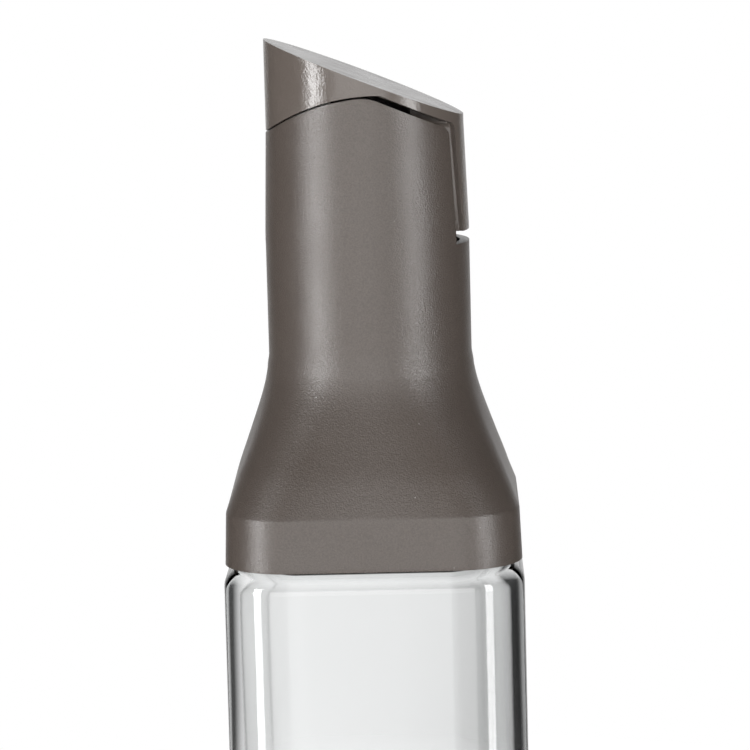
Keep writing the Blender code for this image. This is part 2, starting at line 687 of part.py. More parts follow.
def spout_path(before, beyond):
    """Up from the deck, round one gentle bend and straight to the tilted mouth, run on at both ends."""
    rise = SPOUT_BEND_RADIUS * sin(SPOUT_TILT)
    shift = SPOUT_BEND_RADIUS * (1 - cos(SPOUT_TILT))
    straight = (SPOUT_X - SPOUT_MOUTH_X - shift) / sin(SPOUT_TILT)
    bend_z = MOUTH_Z - straight * cos(SPOUT_TILT) - rise
    bend = arc(SPOUT_X - SPOUT_BEND_RADIUS, bend_z, SPOUT_BEND_RADIUS, 0.0, SPOUT_TILT, BEND_STEPS)
    lip_x, _, lip_z = spout_axis(-SPOUT_RADIUS)
    mouth_x, _, mouth_z = spout_axis(beyond)
    return [(SPOUT_X, DECK_Z - SPOUT_TAIL - before), *bend, (lip_x, lip_z), (mouth_x, mouth_z)]


def pour_spout():
    spout = bar("pour_spout", spout_path(0.0, 0.0), SPOUT_RADIUS, PARTS, SPOUT_LIP_SHARE)
    bore = bar("spout_bore", spout_path(OVERRUN, OVERRUN), SPOUT_BORE_RADIUS, CUTTERS)
    flange_z = DECK_TOP_Z + SEAT_GAP
    start, end = (SPOUT_X, 0.0, flange_z), (SPOUT_X, 0.0, flange_z + SPOUT_FLANGE_THICKNESS)
    boolean(spout, "UNION", rod("spout_flange", SPOUT_FLANGE_RADIUS, start, end, CUTTERS))
    boolean(spout, "DIFFERENCE", bore)
    return finish(spout, INNER_PLASTIC)


def air_tube():
    low, high = DECK_Z - AIR_TUBE_TAIL, DECK_TOP_Z + AIR_TUBE_RISE
    steps = SMALL_STEPS // 2
    tube = rod("air_tube", AIR_TUBE_RADIUS, (AIR_TUBE_X, 0.0, low), (AIR_TUBE_X, 0.0, high), PARTS, steps)
    start, end = (AIR_TUBE_X, 0.0, low - OVERRUN), (AIR_TUBE_X, 0.0, high + OVERRUN)
    boolean(tube, "DIFFERENCE", rod("air_bore", AIR_TUBE_BORE_RADIUS, start, end, CUTTERS, steps))
    return finish(tube, STEEL)


def pivot(name, place, parent=None):
    """An empty on a joint's axis, which the pieces of that joint hang from."""
    made = bpy.data.objects.new(name, None)
    PARTS.objects.link(made)
    made.location = place
    if parent:
        attach(made, parent)
    return made


def attach(piece, parent):
    bpy.context.view_layer.update()
    piece.parent = parent
    piece.matrix_parent_inverse = parent.matrix_world.inverted()


def main():
    glass_bottle()
    cap_lift = pivot("cap_lift_axis", (0.0, 0.0, HOOD_Z))
    lid_hinge = pivot("lid_hinge_axis", (HINGE_X, 0.0, HINGE_Z), cap_lift)
    for make in (hood, inner_collar, neck_gasket, plug_seal, pour_spout, air_tube, hinge_pin):
        attach(make(), cap_lift)
    for make in (lid, lid_seal, counterweight, weight_cover):
        attach(make(), lid_hinge)


main()
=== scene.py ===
from math import acos, asin, cos, pi, radians, sin, sqrt, tan

import bmesh
import bpy
from mathutils import Matrix, Vector, noise


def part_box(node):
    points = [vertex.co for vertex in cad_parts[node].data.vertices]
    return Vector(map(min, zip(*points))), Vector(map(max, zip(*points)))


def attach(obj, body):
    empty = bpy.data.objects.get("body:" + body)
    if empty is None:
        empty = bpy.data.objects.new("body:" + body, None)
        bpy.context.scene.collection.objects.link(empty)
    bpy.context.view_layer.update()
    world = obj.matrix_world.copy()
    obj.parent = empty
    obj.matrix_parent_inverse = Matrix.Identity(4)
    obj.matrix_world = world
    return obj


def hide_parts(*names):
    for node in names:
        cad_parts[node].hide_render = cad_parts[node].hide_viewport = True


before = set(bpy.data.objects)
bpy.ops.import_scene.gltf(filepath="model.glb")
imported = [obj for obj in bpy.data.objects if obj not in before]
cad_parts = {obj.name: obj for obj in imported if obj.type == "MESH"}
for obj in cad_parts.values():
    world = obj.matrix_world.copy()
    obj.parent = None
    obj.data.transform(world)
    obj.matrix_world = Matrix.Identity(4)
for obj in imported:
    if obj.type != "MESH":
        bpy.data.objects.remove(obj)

scene = bpy.context.scene
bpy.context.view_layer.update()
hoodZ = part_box("hood")[0].z
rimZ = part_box("glass_bottle")[1].z
print("frame loaded:", len(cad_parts), "CAD nodes")


# helpers that make and change meshes; all lengths are metres

def linked(made):
    scene.collection.objects.link(made)
    return made


def plainObject(name, points, faces):
    mesh = bpy.data.meshes.new(name)
    mesh.from_pydata([tuple(p) for p in points], [], faces)
    return linked(bpy.data.objects.new(name, mesh))


def settle(piece):
    # turns the modifiers into plain mesh and takes them off
    graph = bpy.context.evaluated_depsgraph_get()
    mesh = bpy.data.meshes.new_from_object(piece.evaluated_get(graph))
    piece.modifiers.clear()
    piece.data = mesh
    mesh.name = piece.name
    return piece


def weld(piece, distance=2e-6):
    shape = bmesh.new()
    shape.from_mesh(piece.data)
    bmesh.ops.remove_doubles(shape, verts=shape.verts, dist=distance)
    bmesh.ops.recalc_face_normals(shape, faces=shape.faces)
    shape.to_mesh(piece.data)
    shape.free()
    return piece


def smooth(piece, angle=35):
    piece.data.shade_smooth()
    piece.data.set_sharp_from_angle(angle=radians(angle))
    return piece


def roundEdges(piece, width, steps=3, fromAngle=50):
    bevel = piece.modifiers.new("edges", "BEVEL")
    bevel.width = width
    bevel.segments = steps
    bevel.limit_method = "ANGLE"
    bevel.angle_limit = radians(fromAngle)
    return settle(piece)


def thicken(piece, wall, rim, steps=3):
    # gives a skin its wall on the inside and rounds the edges that this makes
    solid = piece.modifiers.new("wall", "SOLIDIFY")
    solid.thickness = wall
    solid.offset = -1
    solid.use_even_offset = True
    solid.thickness_clamp = 0
    return roundEdges(piece, rim, steps)


def cut(target, way, *others):
    for other in others:
        change = target.modifiers.new(way.lower(), "BOOLEAN")
        change.operation = way
        change.object = other
        change.solver = "EXACT"
    settle(target)
    for other in others:
        bpy.data.objects.remove(other, do_unlink=True)
    return target


def skin(name, rings, closed=False):
    # faces through rings of equal point counts, capped at both ends or led back to the first ring
    count = len(rings[0])
    pairs = [(i, i + 1) for i in range(len(rings) - 1)]
    if closed:
        pairs.append((len(rings) - 1, 0))
    faces = [(a * count + i, a * count + (i + 1) % count, b * count + (i + 1) % count, b * count + i)
             for a, b in pairs for i in range(count)]
    if not closed:
        faces += [tuple(range(count))[::-1], tuple(range((len(rings) - 1) * count, len(rings) * count))]
    return plainObject(name, [p for ring in rings for p in ring], faces)


def slab(name, outline, low, high, axis="Y"):
    # an outline in XZ drawn out along Y, or in YZ drawn out along X
    return weld(skin(name, [[(a, depth, b) if axis == "Y" else (depth, a, b) for a, b in outline]
                            for depth in (low, high)]))


def spun(name, profile, steps=96, closed=False):
    # an (r, z) profile turned round Z; a point on the axis closes the end
    turns = [2 * pi * i / steps for i in range(steps)]
    return weld(skin(name, [[(r * cos(a), r * sin(a), z) for a in turns] for r, z in profile], closed))


def softened(profile, radius, steps=3, most=0.45):
    # the same outline with its corners rounded, by most of an edge at most; points on the axis stay
    line = []
    for i, (x, z) in enumerate(profile):
        if x == 0.0:
            line.append((x, z))
            continue
        here = Vector((x, z))
        toBefore, toAfter = Vector(profile[i - 1]) - here, Vector(profile[(i + 1) % len(profile)]) - here
        back = toBefore.normalized() * min(radius, toBefore.length * most)
        ahead = toAfter.normalized() * min(radius, toAfter.length * most)
        for step in range(steps + 1):
            t = step / steps
            line.append(tuple(here + back * (1 - t) ** 2 + ahead * t**2))
    return line


def ringPiece(name, profile, radius=0.0002, steps=96):
    # a closed profile away from the axis, turned round Z
    return spun(name, softened(profile, radius), steps, closed=True)


def roundBar(name, radius, start, end, edge=0.00015, steps=48, edgeSteps=4):
    # a bar between two points, its ends rounded over
    start, end = Vector(start), Vector(end)
    length = (end - start).length
    turns = [pi / 2 * i / edgeSteps for i in range(edgeSteps + 1)]
    quarter = [(edge * (1 - cos(a)), edge * (1 - sin(a))) for a in turns]
    profile = [(0.0, 0.0), *[(radius - b, a) for a, b in quarter],
               *[(radius - b, length - a) for a, b in quarter[::-1]], (0.0, length)]
    made = spun(name, profile, steps)
    turn = (end - start).to_track_quat("Z", "Y").to_matrix().to_4x4()
    made.data.transform(Matrix.Translation(start) @ turn)
    return made


def boxPiece(name, low, high, edge=0.0):
    outline = [(low[0], low[2]), (high[0], low[2]), (high[0], high[2]), (low[0], high[2])]
    made = slab(name, outline, low[1], high[1])
    return roundEdges(made, edge) if edge else made


def arcPoints(x, z, radius, start, end, steps=10):
    turns = [start + (end - start) * i / steps for i in range(steps + 1)]
    return [(x + radius * cos(a), z + radius * sin(a)) for a in turns]


def throughTable(table, x):
    # a smooth curve through the points of a table
    for i in range(len(table) - 1):
        if x <= table[i + 1][0]:
            break
    (x0, y0), (x1, y1) = table[i], table[i + 1]

    def slope(j):
        if j == 0:
            return (table[1][1] - table[0][1]) / (table[1][0] - table[0][0])
        if j == len(table) - 1:
            return 0.0
        return (table[j + 1][1] - table[j - 1][1]) / (table[j + 1][0] - table[j - 1][0])

    t, span = (x - x0) / (x1 - x0), x1 - x0
    return ((2 * t**3 - 3 * t**2 + 1) * y0 + (t**3 - 2 * t**2 + t) * span * slope(i)
            + (3 * t**2 - 2 * t**3) * y1 + (t**3 - t**2) * span * slope(i + 1))


# helpers that make node trees

def fill(tree, slot, link):
    # a link is a setting, or the socket or sum that feeds the slot
    link = getattr(link, "socket", link)
    if isinstance(link, bpy.types.NodeSocket):
        tree.links.new(link, slot)
    else:
        slot.default_value = link


def feed(tree, node, links):
    for name, link in links.items():
        fill(tree, node.inputs[name], link)
    return node


def newNode(tree, kind, *links, **values):
    # the links go to its inputs in order, the values are its own properties
    node = tree.nodes.new(kind)
    for key, value in values.items():
        setattr(node, key, value)
    for slot, link in zip([s for s in node.inputs if s.enabled], links):
        fill(tree, slot, link)
    return node


def wire(tree, kind, *links, **values):
    # the first output of a new node
    return newNode(tree, kind, *links, **values).outputs[0]


def named(tree, kind, links, **values):
    # the same, with the inputs by name
    return feed(tree, newNode(tree, kind, **values), links).outputs[0]


def sums(tree, operation, *links):
    # the answer of one Math node
    return Sum(tree, wire(tree, "ShaderNodeMath", *links, operation=operation))


class Sum:
    # a number in a node tree, so that rules can be written as formulas
    def __init__(self, tree, socket):
        self.tree, self.socket = tree, socket

    def to(self, operation, *others):
        return sums(self.tree, operation, self, *others)

    def __add__(self, other):
        return self.to("ADD", other)

    def __sub__(self, other):
        return self.to("SUBTRACT", other)

    def __rsub__(self, other):
        return sums(self.tree, "SUBTRACT", other, self)

    def __mul__(self, other):
        return self.to("MULTIPLY", other)

    def __truediv__(self, other):
        return self.to("DIVIDE", other)


def grain(tree, place, scale, detail=2.0, rough=0.5):
    links = {"Vector": place, "Scale": scale, "Detail": detail, "Roughness": rough}
    return named(tree, "ShaderNodeTexNoise", links)


def ranged(tree, value, low, high, to0=0.0, to1=1.0):
    links = {"Value": value, "From Min": low, "From Max": high, "To Min": to0, "To Max": to1}
    return named(tree, "ShaderNodeMapRange", links)


def tint(tree, share, first, second):
    # a mix of two colours, given as sockets or as (red, green, blue)
    made = newNode(tree, "ShaderNodeMix", data_type="RGBA")
    for key, value in ((0, share), (6, first), (7, second)):
        fill(tree, made.inputs[key], (*value, 1.0) if isinstance(value, tuple) else value)
    return made.outputs[2]


def bumps(tree, shader, height, depth, under=None):
    links = {"Strength": 1.0, "Distance": depth, "Height": height}
    if under:
        links["Normal"] = under
    slope = named(tree, "ShaderNodeBump", links)
    tree.links.new(slope, shader.inputs["Normal"])
    return slope


def newLook(name):
    look = bpy.data.materials.new(name)
    look.use_nodes = True
    tree = look.node_tree
    tree.nodes.clear()
    shader = newNode(tree, "ShaderNodeBsdfPrincipled")
    newNode(tree, "ShaderNodeOutputMaterial", shader.outputs[0])
    return look, tree, shader, newNode(tree, "ShaderNodeTexCoord").outputs["Object"]


# finishes: a grain is its scale, its detail and sometimes its roughness; tones are linear
midGrain = (0.3, 0.7)
lookSizes = {
    "clear_glass": {
        "name": "clearGlass", "tone": (0.985, 0.99, 0.99, 1.0), "bend": 1.5, "haze": (200.0, 2.0),
        "hazeFrom": (0.4, 0.8), "roughness": (0.0, 0.012), "waves": (35.0, 1.0), "depth": 0.00012,
        "grey": (0.50, 0.51, 0.51, 1.0), "density": 40.0},
    "hood_plastic": {
        "name": "hoodPlastic", "tones": ((0.062, 0.050, 0.043), (0.070, 0.057, 0.049)), "cloud": (45.0, 3.0),
        "shine": (90.0, 3.0), "roughness": (0.29, 0.34), "fine": (1.0 / 0.00034, 2.0, 0.6), "depth": 0.000090,
        "speck": (0.092, 0.076, 0.066), "dust": (0.52, 0.50, 0.48), "dustScale": 420.0,
        "dustRadius": (0.055, 0.035), "dustPatch": (130.0, 1.0), "dustFrom": (0.66, 0.70)},
    "lid_plastic": {
        "name": "lidPlastic", "tones": ((0.104, 0.087, 0.076), (0.112, 0.094, 0.082)), "cloud": (40.0, 2.0),
        "shine": (120.0, 3.0), "roughness": (0.19, 0.26), "fine": (2000.0, 2.0), "depth": 0.00005,
        "wave": (420.0, 2.0), "waveDepth": 0.00009},
    "inner_plastic": {
        "name": "milkyPlastic", "tones": ((0.74, 0.73, 0.70), (0.80, 0.79, 0.77)), "cloud": (60.0, 2.0),
        "shine": (150.0, 2.0), "roughness": (0.26, 0.36), "fine": (2500.0, 2.0), "depth": 0.000006,
        "milk": 0.35, "milkReach": (0.002, 0.002, 0.0018)},
    "silicone": {
        "name": "milkySilicone", "tones": ((0.72, 0.72, 0.70), (0.80, 0.80, 0.79)), "cloud": (80.0, 2.0),
        "shine": (200.0, 2.0), "roughness": (0.42, 0.52), "fine": (1800.0, 2.0), "depth": 0.000008,
        "milk": 0.5, "milkReach": (0.003, 0.003, 0.003)},
    "steel": {
        "name": "brushedSteel", "tones": ((0.56, 0.55, 0.54), (0.66, 0.65, 0.64)), "roughness": (0.22, 0.34),
        "stretch": (1.0, 0.04, 1.0), "lines": (2200.0, 3.0, 0.6), "depth": 0.000004},
}


def dusted(tree, place, colour, s):
    # pale specks, only where a coarse grain is high
    spots = named(tree, "ShaderNodeTexVoronoi", {"Vector": place, "Scale": s["dustScale"]}, feature="F1")
    dust = ranged(tree, spots, *s["dustRadius"])
    rare = ranged(tree, grain(tree, place, *s["dustPatch"]), *s["dustFrom"])
    return tint(tree, sums(tree, "MULTIPLY", dust, rare), colour, s["dust"])


def mouldedLook(s):
    # two tones in soft clouds, an uneven shine and a fine grain
    look, tree, shader, place = newLook(s["name"])
    colour = tint(tree, grain(tree, place, *s["cloud"]), *s["tones"])
    fine = grain(tree, place, *s["fine"])
    under = None
    if "dust" in s:
        colour = dusted(tree, place, colour, s)
        colour = tint(tree, ranged(tree, fine, *midGrain), colour, s["speck"])
    if "wave" in s:
        under = bumps(tree, shader, grain(tree, place, *s["wave"]), s["waveDepth"])
    if "milk" in s:
        feed(tree, shader, {"Subsurface Weight": s["milk"], "Subsurface Radius": s["milkReach"]})
    rough = ranged(tree, grain(tree, place, *s["shine"]), *midGrain, *s["roughness"])
    feed(tree, shader, {"Base Color": colour, "Roughness": rough})
    bumps(tree, shader, fine, s["depth"], under)
    return look


def glassLook(s):
    look, tree, shader, place = newLook(s["name"])
    rough = ranged(tree, grain(tree, place, *s["haze"]), *s["hazeFrom"], *s["roughness"])
    feed(tree, shader, {"Transmission Weight": 1.0, "IOR": s["bend"], "Base Color": s["tone"],
                        "Roughness": rough})
    bumps(tree, shader, grain(tree, place, *s["waves"]), s["depth"])
    # thick glass greys what is seen along its walls
    depth = named(tree, "ShaderNodeVolumeAbsorption", {"Color": s["grey"], "Density": s["density"]})
    tree.links.new(depth, tree.nodes["Material Output"].inputs["Volume"])
    return look


def steelLook(s):
    # brushed: one grain, drawn out along Y, gives the tone, the shine and the depth
    look, tree, shader, place = newLook(s["name"])
    drawn = named(tree, "ShaderNodeMapping", {"Vector": place, "Scale": s["stretch"]})
    lines = grain(tree, drawn, *s["lines"])
    feed(tree, shader, {"Metallic": 1.0, "Base Color": tint(tree, lines, *s["tones"]),
                        "Roughness": ranged(tree, lines, *midGrain, *s["roughness"])})
    bumps(tree, shader, lines, s["depth"])
    return look


makers = {"clear_glass": glassLook, "steel": steelLook}
looks = {slotName: makers.get(slotName, mouldedLook)(s) for slotName, s in lookSizes.items()}
print("finishes made")


def dress(piece, slotName, body, *replaced):
    piece.data.materials.clear()
    piece.data.materials.append(looks[slotName])
    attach(piece, body)
    if replaced:
        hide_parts(*replaced)
    return piece


# glass bottle: its roof under the hood is thin, so that it draws no dark band
bottleSizes = {
    "halfBase": 0.0312, "halfShoulder": 0.0311, "corner": 0.0140, "innerCorner": 0.0128, "height": 0.0884,
    "wall": 0.0030, "roof": 0.0011, "floor": 0.0060, "innerRound": 0.0014, "baseRound": 0.0030,
    "baseRing": 0.0035, "punt": 0.0010, "puntCorner": 0.0080, "shoulderRound": 0.0042,
    "neck": 0.0160, "neckWall": 0.0032, "neckRoot": 0.0028, "rim": 0.0010,
    "cornerPoints": 26, "wallRows": 26, "shoulderPoints": 14, "rimPoints": 6,
    "unevenness": 0.00010, "unevenScale": 55.0,
}


def squareRing(half, corner, roundness, z, count):
    ring = []
    for quarter in range(4):
        turn = Matrix.Rotation(pi / 2 * quarter, 3, "Z")
        for step in range(count):
            a = pi / 2 * (step + 0.5) / count
            square = Vector((half - corner + corner * cos(a), half - corner + corner * sin(a), z))
            ring.append(turn @ square.lerp(Vector((half * cos(a), half * sin(a), z)), roundness))
    return ring


def makeBottle():
    s = bottleSizes
    bore = s["neck"] - s["neckWall"]
    lowHalf, topHalf = s["halfBase"] - s["wall"], s["halfShoulder"] - s["wall"]
    ceiling = s["height"] - s["roof"]
    footHalf, punt = s["halfBase"] - s["baseRound"] - s["baseRing"], s["punt"]

    def squares(line, half, corner):
        return [squareRing(x, corner - (half - x), 0.0, z, s["cornerPoints"]) for x, z in line]

    def rounds(line):
        return [squareRing(x, x, 1.0, z, s["cornerPoints"]) for x, z in line]

    def between(lowPoint, highPoint):
        # the rows of a straight wall, without its ends
        (x0, z0), (x1, z1), steps = lowPoint, highPoint, s["wallRows"]
        return [(x0 + (x1 - x0) * i / steps, z0 + (z1 - z0) * i / steps) for i in range(1, steps)]

    foot = [(footHalf - punt, punt), (footHalf - punt / 4, punt / 4), (footHalf, 0.0)]
    base = arcPoints(s["halfBase"] - s["baseRound"], s["baseRound"], s["baseRound"], -pi / 2, 0.0)
    shoulder = arcPoints(s["halfShoulder"] - s["shoulderRound"], s["height"] - s["shoulderRound"],
                         s["shoulderRound"], 0.0, pi / 2, s["shoulderPoints"])
    root = arcPoints(s["neck"] + s["neckRoot"], s["height"] + s["neckRoot"], s["neckRoot"], -pi / 2, -pi)
    rim = arcPoints(s["neck"] - s["rim"], rimZ - s["rim"], s["rim"], 0.0, pi / 2, s["rimPoints"])
    rim += arcPoints(bore + s["rim"], rimZ - s["rim"], s["rim"], pi / 2, pi, s["rimPoints"])
    innerRoot = arcPoints(bore + s["neckRoot"], ceiling + s["neckRoot"], s["neckRoot"], pi, 1.5 * pi)
    bend = s["innerRound"]
    innerShoulder = arcPoints(topHalf - bend, ceiling - bend, bend, pi / 2, 0.0)
    innerBase = arcPoints(lowHalf - bend, s["floor"] + bend, bend, 0.0, -pi / 2)
    outside = [
        *squares(foot, footHalf, s["puntCorner"]),
        *squares(base, s["halfBase"], s["corner"]),
        *squares(between(base[-1], shoulder[0]), s["halfBase"], s["corner"]),
        *squares(shoulder, s["halfShoulder"], s["corner"]),
        *rounds(root + rim + innerRoot),
    ]
    inside = squares(innerShoulder, topHalf, s["innerCorner"])  # glass is thicker at its corners
    inside += squares(between(innerShoulder[-1], innerBase[0]), topHalf, s["innerCorner"])
    inside += squares(innerBase, lowHalf, s["innerCorner"])
    for ring in inside:
        for p in ring:  # the inside of pressed glass is a little uneven
            out = Vector((p.x, p.y, 0.0)).normalized()
            p -= out * s["unevenness"] * (1.0 + noise.noise(p * s["unevenScale"]))
    return smooth(weld(skin("glassBottle", outside + inside)), 40)


dress(makeBottle(), "clear_glass", "bottle", "glass_bottle")
print("bottle made")


# hood: its form follows one rule, a square that turns into a circle on the way up
hoodSizes = {
    "wall": 0.0020, "edge": 0.00042, "bandBottom": 0.0307, "bandTop": 0.0303, "corner": 0.0136,
    "bandHeight": 0.0107, "flareHeight": 0.0285, "towerBase": 0.0216, "towerCrease": 0.02125,
    "towerTop": 0.02055, "height": 0.09585, "creaseShare": 0.50, "taperShare": 0.88, "sillDrop": 0.0315,
    "windowLow": 0.0104, "windowHigh": 0.0109, "arcDrop": 0.00045, "rearDrop": 0.00140, "kink": 0.0090,
    "rearX": 0.0176, "rearCorner": 0.0030, "flatShare": 0.42, "bandRound": 0.0004,
    "bandRows": [0.0, 0.0008, 0.003, 0.006, 0.009], "flareRows": 40, "towerRows": 12, "topRows": 24,
    "columns": 192, "windowColumns": 15,
    "flare": [(0.0, 1.0), (0.14, 0.872), (0.28, 0.735), (0.45, 0.533), (0.62, 0.333), (0.74, 0.197),
              (0.83, 0.107), (0.91, 0.043), (1.0, 0.0)],
}
seamSizes = {"arcRadius": 0.0375, "arcX": 0.0023, "rearX": 0.01837, "rearDrop": 0.0066,
             "slope": radians(24.07)}
rowNames = ("half", "height", "roundness", "rise")

flareZ = hoodZ + hoodSizes["bandHeight"]
towerZ = flareZ + hoodSizes["flareHeight"]
apexZ = hoodZ + hoodSizes["height"]
creaseZ = towerZ + (apexZ - towerZ) * hoodSizes["creaseShare"]
taperZ = towerZ + (apexZ - towerZ) * hoodSizes["taperShare"]
sillZ = apexZ - hoodSizes["sillDrop"]
seamArcZ = apexZ - seamSizes["arcRadius"]
seamRearZ = apexZ - seamSizes["rearDrop"]


def towerRadius(z):
    s = hoodSizes
    low = s["towerBase"] + (s["towerCrease"] - s["towerBase"]) * (z - towerZ) / (creaseZ - towerZ)
    share = min(1.0, max(0.0, (z - creaseZ) / (taperZ - creaseZ)))
    return min(low, s["towerCrease"] + (s["towerTop"] - s["towerCrease"]) * share)


def hoodRows():
    # the profile: half width, z, roundness and share of the way from the sill to the top edge
    s = hoodSizes

    def widthAt(z):
        if z <= flareZ:
            return s["bandBottom"] + (s["bandTop"] - s["bandBottom"]) * (z - hoodZ) / s["bandHeight"]
        if z <= towerZ:
            share = throughTable(s["flare"], (z - flareZ) / s["flareHeight"])
            return s["towerBase"] + (s["bandTop"] - s["towerBase"]) * share
        return towerRadius(z)

    bend, flareRows, towerRows = s["bandRound"], s["flareRows"], s["towerRows"]
    heights = [hoodZ + rise for rise in s["bandRows"]]
    heights += [flareZ - bend, flareZ - bend / 3, flareZ + bend / 3, flareZ + bend]
    heights += [flareZ + s["flareHeight"] * (i + 0.5) / flareRows for i in range(1, flareRows)] + [towerZ]
    heights += [towerZ + (sillZ - towerZ) * i / towerRows for i in range(1, towerRows + 1)]
    rows = []
    for z in heights:
        half = widthAt(z)
        if abs(z - flareZ) < bend:  # the band's upper edge is a small round
            low, high = widthAt(flareZ - bend), widthAt(flareZ + bend)
            t = (z - flareZ + bend) / (2 * bend)
            half = (1 - t) ** 2 * low + 2 * t * (1 - t) * s["bandTop"] + t**2 * high
        share = min(1.0, max(0.0, (z - flareZ) / s["flareHeight"]))
        rows.append((half, z, min(1.0, share * s["towerBase"] / half), 0.0))
    return rows + [(s["towerTop"], sillZ, 1.0, (i + 1) / s["topRows"]) for i in range(s["topRows"])]


def grow(piece, name, rule, sizes, counts, look):
    # runs a rule as a node tree on a piece, with the sizes, the counts and the look as its inputs
    tree = bpy.data.node_groups.new(name, "GeometryNodeTree")
    wanted = {"Geometry": "Geometry", **dict.fromkeys(sizes, "Float"), **dict.fromkeys(counts, "Int"),
              "look": "Material"}
    for key, kind in wanted.items():
        tree.interface.new_socket(key, in_out="INPUT", socket_type="NodeSocket" + kind)
    tree.interface.new_socket("Geometry", in_out="OUTPUT", socket_type="NodeSocketGeometry")
    given = tree.nodes.new("NodeGroupInput").outputs
    real = wire(tree, "GeometryNodeRealizeInstances", rule(tree, given))
    coloured = named(tree, "GeometryNodeSetMaterial", {"Geometry": real, "Material": given["look"]})
    tree.links.new(coloured, tree.nodes.new("NodeGroupOutput").inputs[0])
    form = piece.modifiers.new(name, "NODES")
    form.node_group = tree
    values = {**sizes, **counts, "look": look}
    for item in tree.interface.items_tree:
        if item.in_out == "INPUT" and item.name in values:
            form[item.identifier] = values[item.name]
    return settle(piece)


def hoodRule(tree, given):
    # the rows come in as a line of points, the skin goes out
    v = {socket.name: Sum(tree, socket) for socket in given}

    def pick(test, yes, no):  # yes where test is 1
        return test * yes + (1.0 - test) * no

    def blend(share, first, second):
        return first + share * (second - first)

    def clampedRange(value, low, high):
        share = (value - low) / (high - low)
        return Sum(tree, wire(tree, "ShaderNodeClamp", share))

    def overCircle(middle, radius, off):  # height of a circle's upper half, off its middle
        return middle + (radius * radius - off * off).to("MAXIMUM", 0.0).to("SQRT")

    def keep(shape, name, value):
        links = {"Geometry": shape, "Name": name, "Value": value}
        kind = "GeometryNodeStoreNamedAttribute"
        return named(tree, kind, links, data_type="FLOAT", domain="POINT")

    def stored(name):
        kind = "GeometryNodeInputNamedAttribute"
        return Sum(tree, named(tree, kind, {"Name": name}, data_type="FLOAT"))

    # a flat grid, one square per column and row
    columns, windowColumns = v["columns"], v["windowColumns"]
    spans = v["rows"] - 1.0
    grid = wire(tree, "GeometryNodeMeshGrid", columns, spans, columns + 1.0, v["rows"])
    here = newNode(tree, "ShaderNodeSeparateXYZ", wire(tree, "GeometryNodeInputPosition")).outputs
    numbered = keep(grid, "row", (Sum(tree, here[1]) + spans / 2.0).to("ROUND"))
    numbered = keep(numbered, "column", here[0])
    rowNow, columnNow = stored("row"), stored("column")

    def fromRows(name):  # a value of the profile at this row
        links = {"Geometry": given["Geometry"], "Value": stored(name), "Index": rowNow}
        kind = "GeometryNodeSampleIndex"
        return Sum(tree, named(tree, kind, links, data_type="FLOAT", domain="POINT"))

    rowHalf, rowZ, roundness, rise = [fromRows(name) for name in rowNames]

    # polar angle of the column, dense at the corners where the form is square
    corner, flatShare = v["corner"], v["flatShare"]
    sides = columnNow * 4.0 / columns
    side = sides.to("ROUND")
    aside = sides - side
    t = aside.to("ABSOLUTE") * 2.0
    flatWidth = rowHalf - corner
    edgeAngle = (flatWidth / rowHalf).to("ARCTANGENT")
    arcShare = (t - flatShare) / (1.0 - flatShare)
    onArc = blend(arcShare, edgeAngle, pi / 4)
    squareAngle = pick(t.to("GREATER_THAN", flatShare), onArc, t / flatShare * edgeAngle)
    bend = blend(roundness, squareAngle, t * (pi / 4))

    # distance from the axis: rounded square and circle, mixed
    reach = flatWidth * (bend.to("COSINE") + bend.to("SINE"))
    inner = reach * reach + corner * corner - flatWidth * flatWidth * 2.0
    arcReach = reach + inner.to("MAXIMUM", 0.0).to("SQRT")
    squareReach = pick(bend.to("GREATER_THAN", edgeAngle), arcReach, rowHalf / bend.to("COSINE"))
    angle = side * (pi / 2) + aside.to("SIGN") * bend

    # columns lean so that one pair runs along the window's edges
    edge = windowColumns * (2 * pi) / columns
    size = angle.to("ABSOLUTE")

    def leant(target):
        outside = target + (size - edge) * (pi - target) / (pi - edge)
        return pick(size.to("GREATER_THAN", edge), outside, size * target / edge)

    topTarget = (v["windowHigh"] / v["towerTop"]).to("ARCSINE")
    topX = v["towerTop"] * leant(topTarget).to("COSINE")

    # height of the top edge there: the seam's arc, a soft kink, the line behind it and its round corner
    arcTop = overCircle(v["arcZ"], v["arcRadius"], topX - v["arcX"])
    lineTop = v["rearHeight"] + (v["rearX"] - topX) * v["slope"].to("TANGENT") - v["rearDrop"]
    past = topX - v["cornerX"]
    onCorner = past.to("GREATER_THAN", v["rearCorner"] * v["slope"].to("SINE"))
    cornerNow = pick(onCorner, overCircle(v["cornerZ"], v["rearCorner"], past), lineTop)
    kinkTop = overCircle(v["kinkZ"], v["kink"], topX - v["kinkX"])
    inKink = topX.to("GREATER_THAN", v["kinkFrom"]) * topX.to("LESS_THAN", v["kinkTo"])
    front = pick(inKink, kinkTop, arcTop.to("MINIMUM", lineTop))
    z = blend(rise, rowZ, front.to("MINIMUM", cornerNow))

    # over the sill the skin is the tower's, and its columns follow the window
    lower = blend(clampedRange(z, v["warpFrom"], v["crease"]), v["towerBase"], v["towerCrease"])
    tower = blend(clampedRange(z, v["crease"], v["taper"]), lower, v["towerTop"])
    radius = pick(rise.to("GREATER_THAN", 0.0), tower, blend(roundness, squareReach, rowHalf))
    window = blend(clampedRange(z, v["sill"], v["rearHeight"]), v["windowLow"], v["windowHigh"])
    target = leant((window / radius).to("ARCSINE"))
    angleNow = angle.to("SIGN") * blend(clampedRange(z, v["warpFrom"], v["sill"]), size, target)
    flatPlace = [radius * angleNow.to(part) for part in ("COSINE", "SINE")]
    place = wire(tree, "ShaderNodeCombineXYZ", *flatPlace, z)

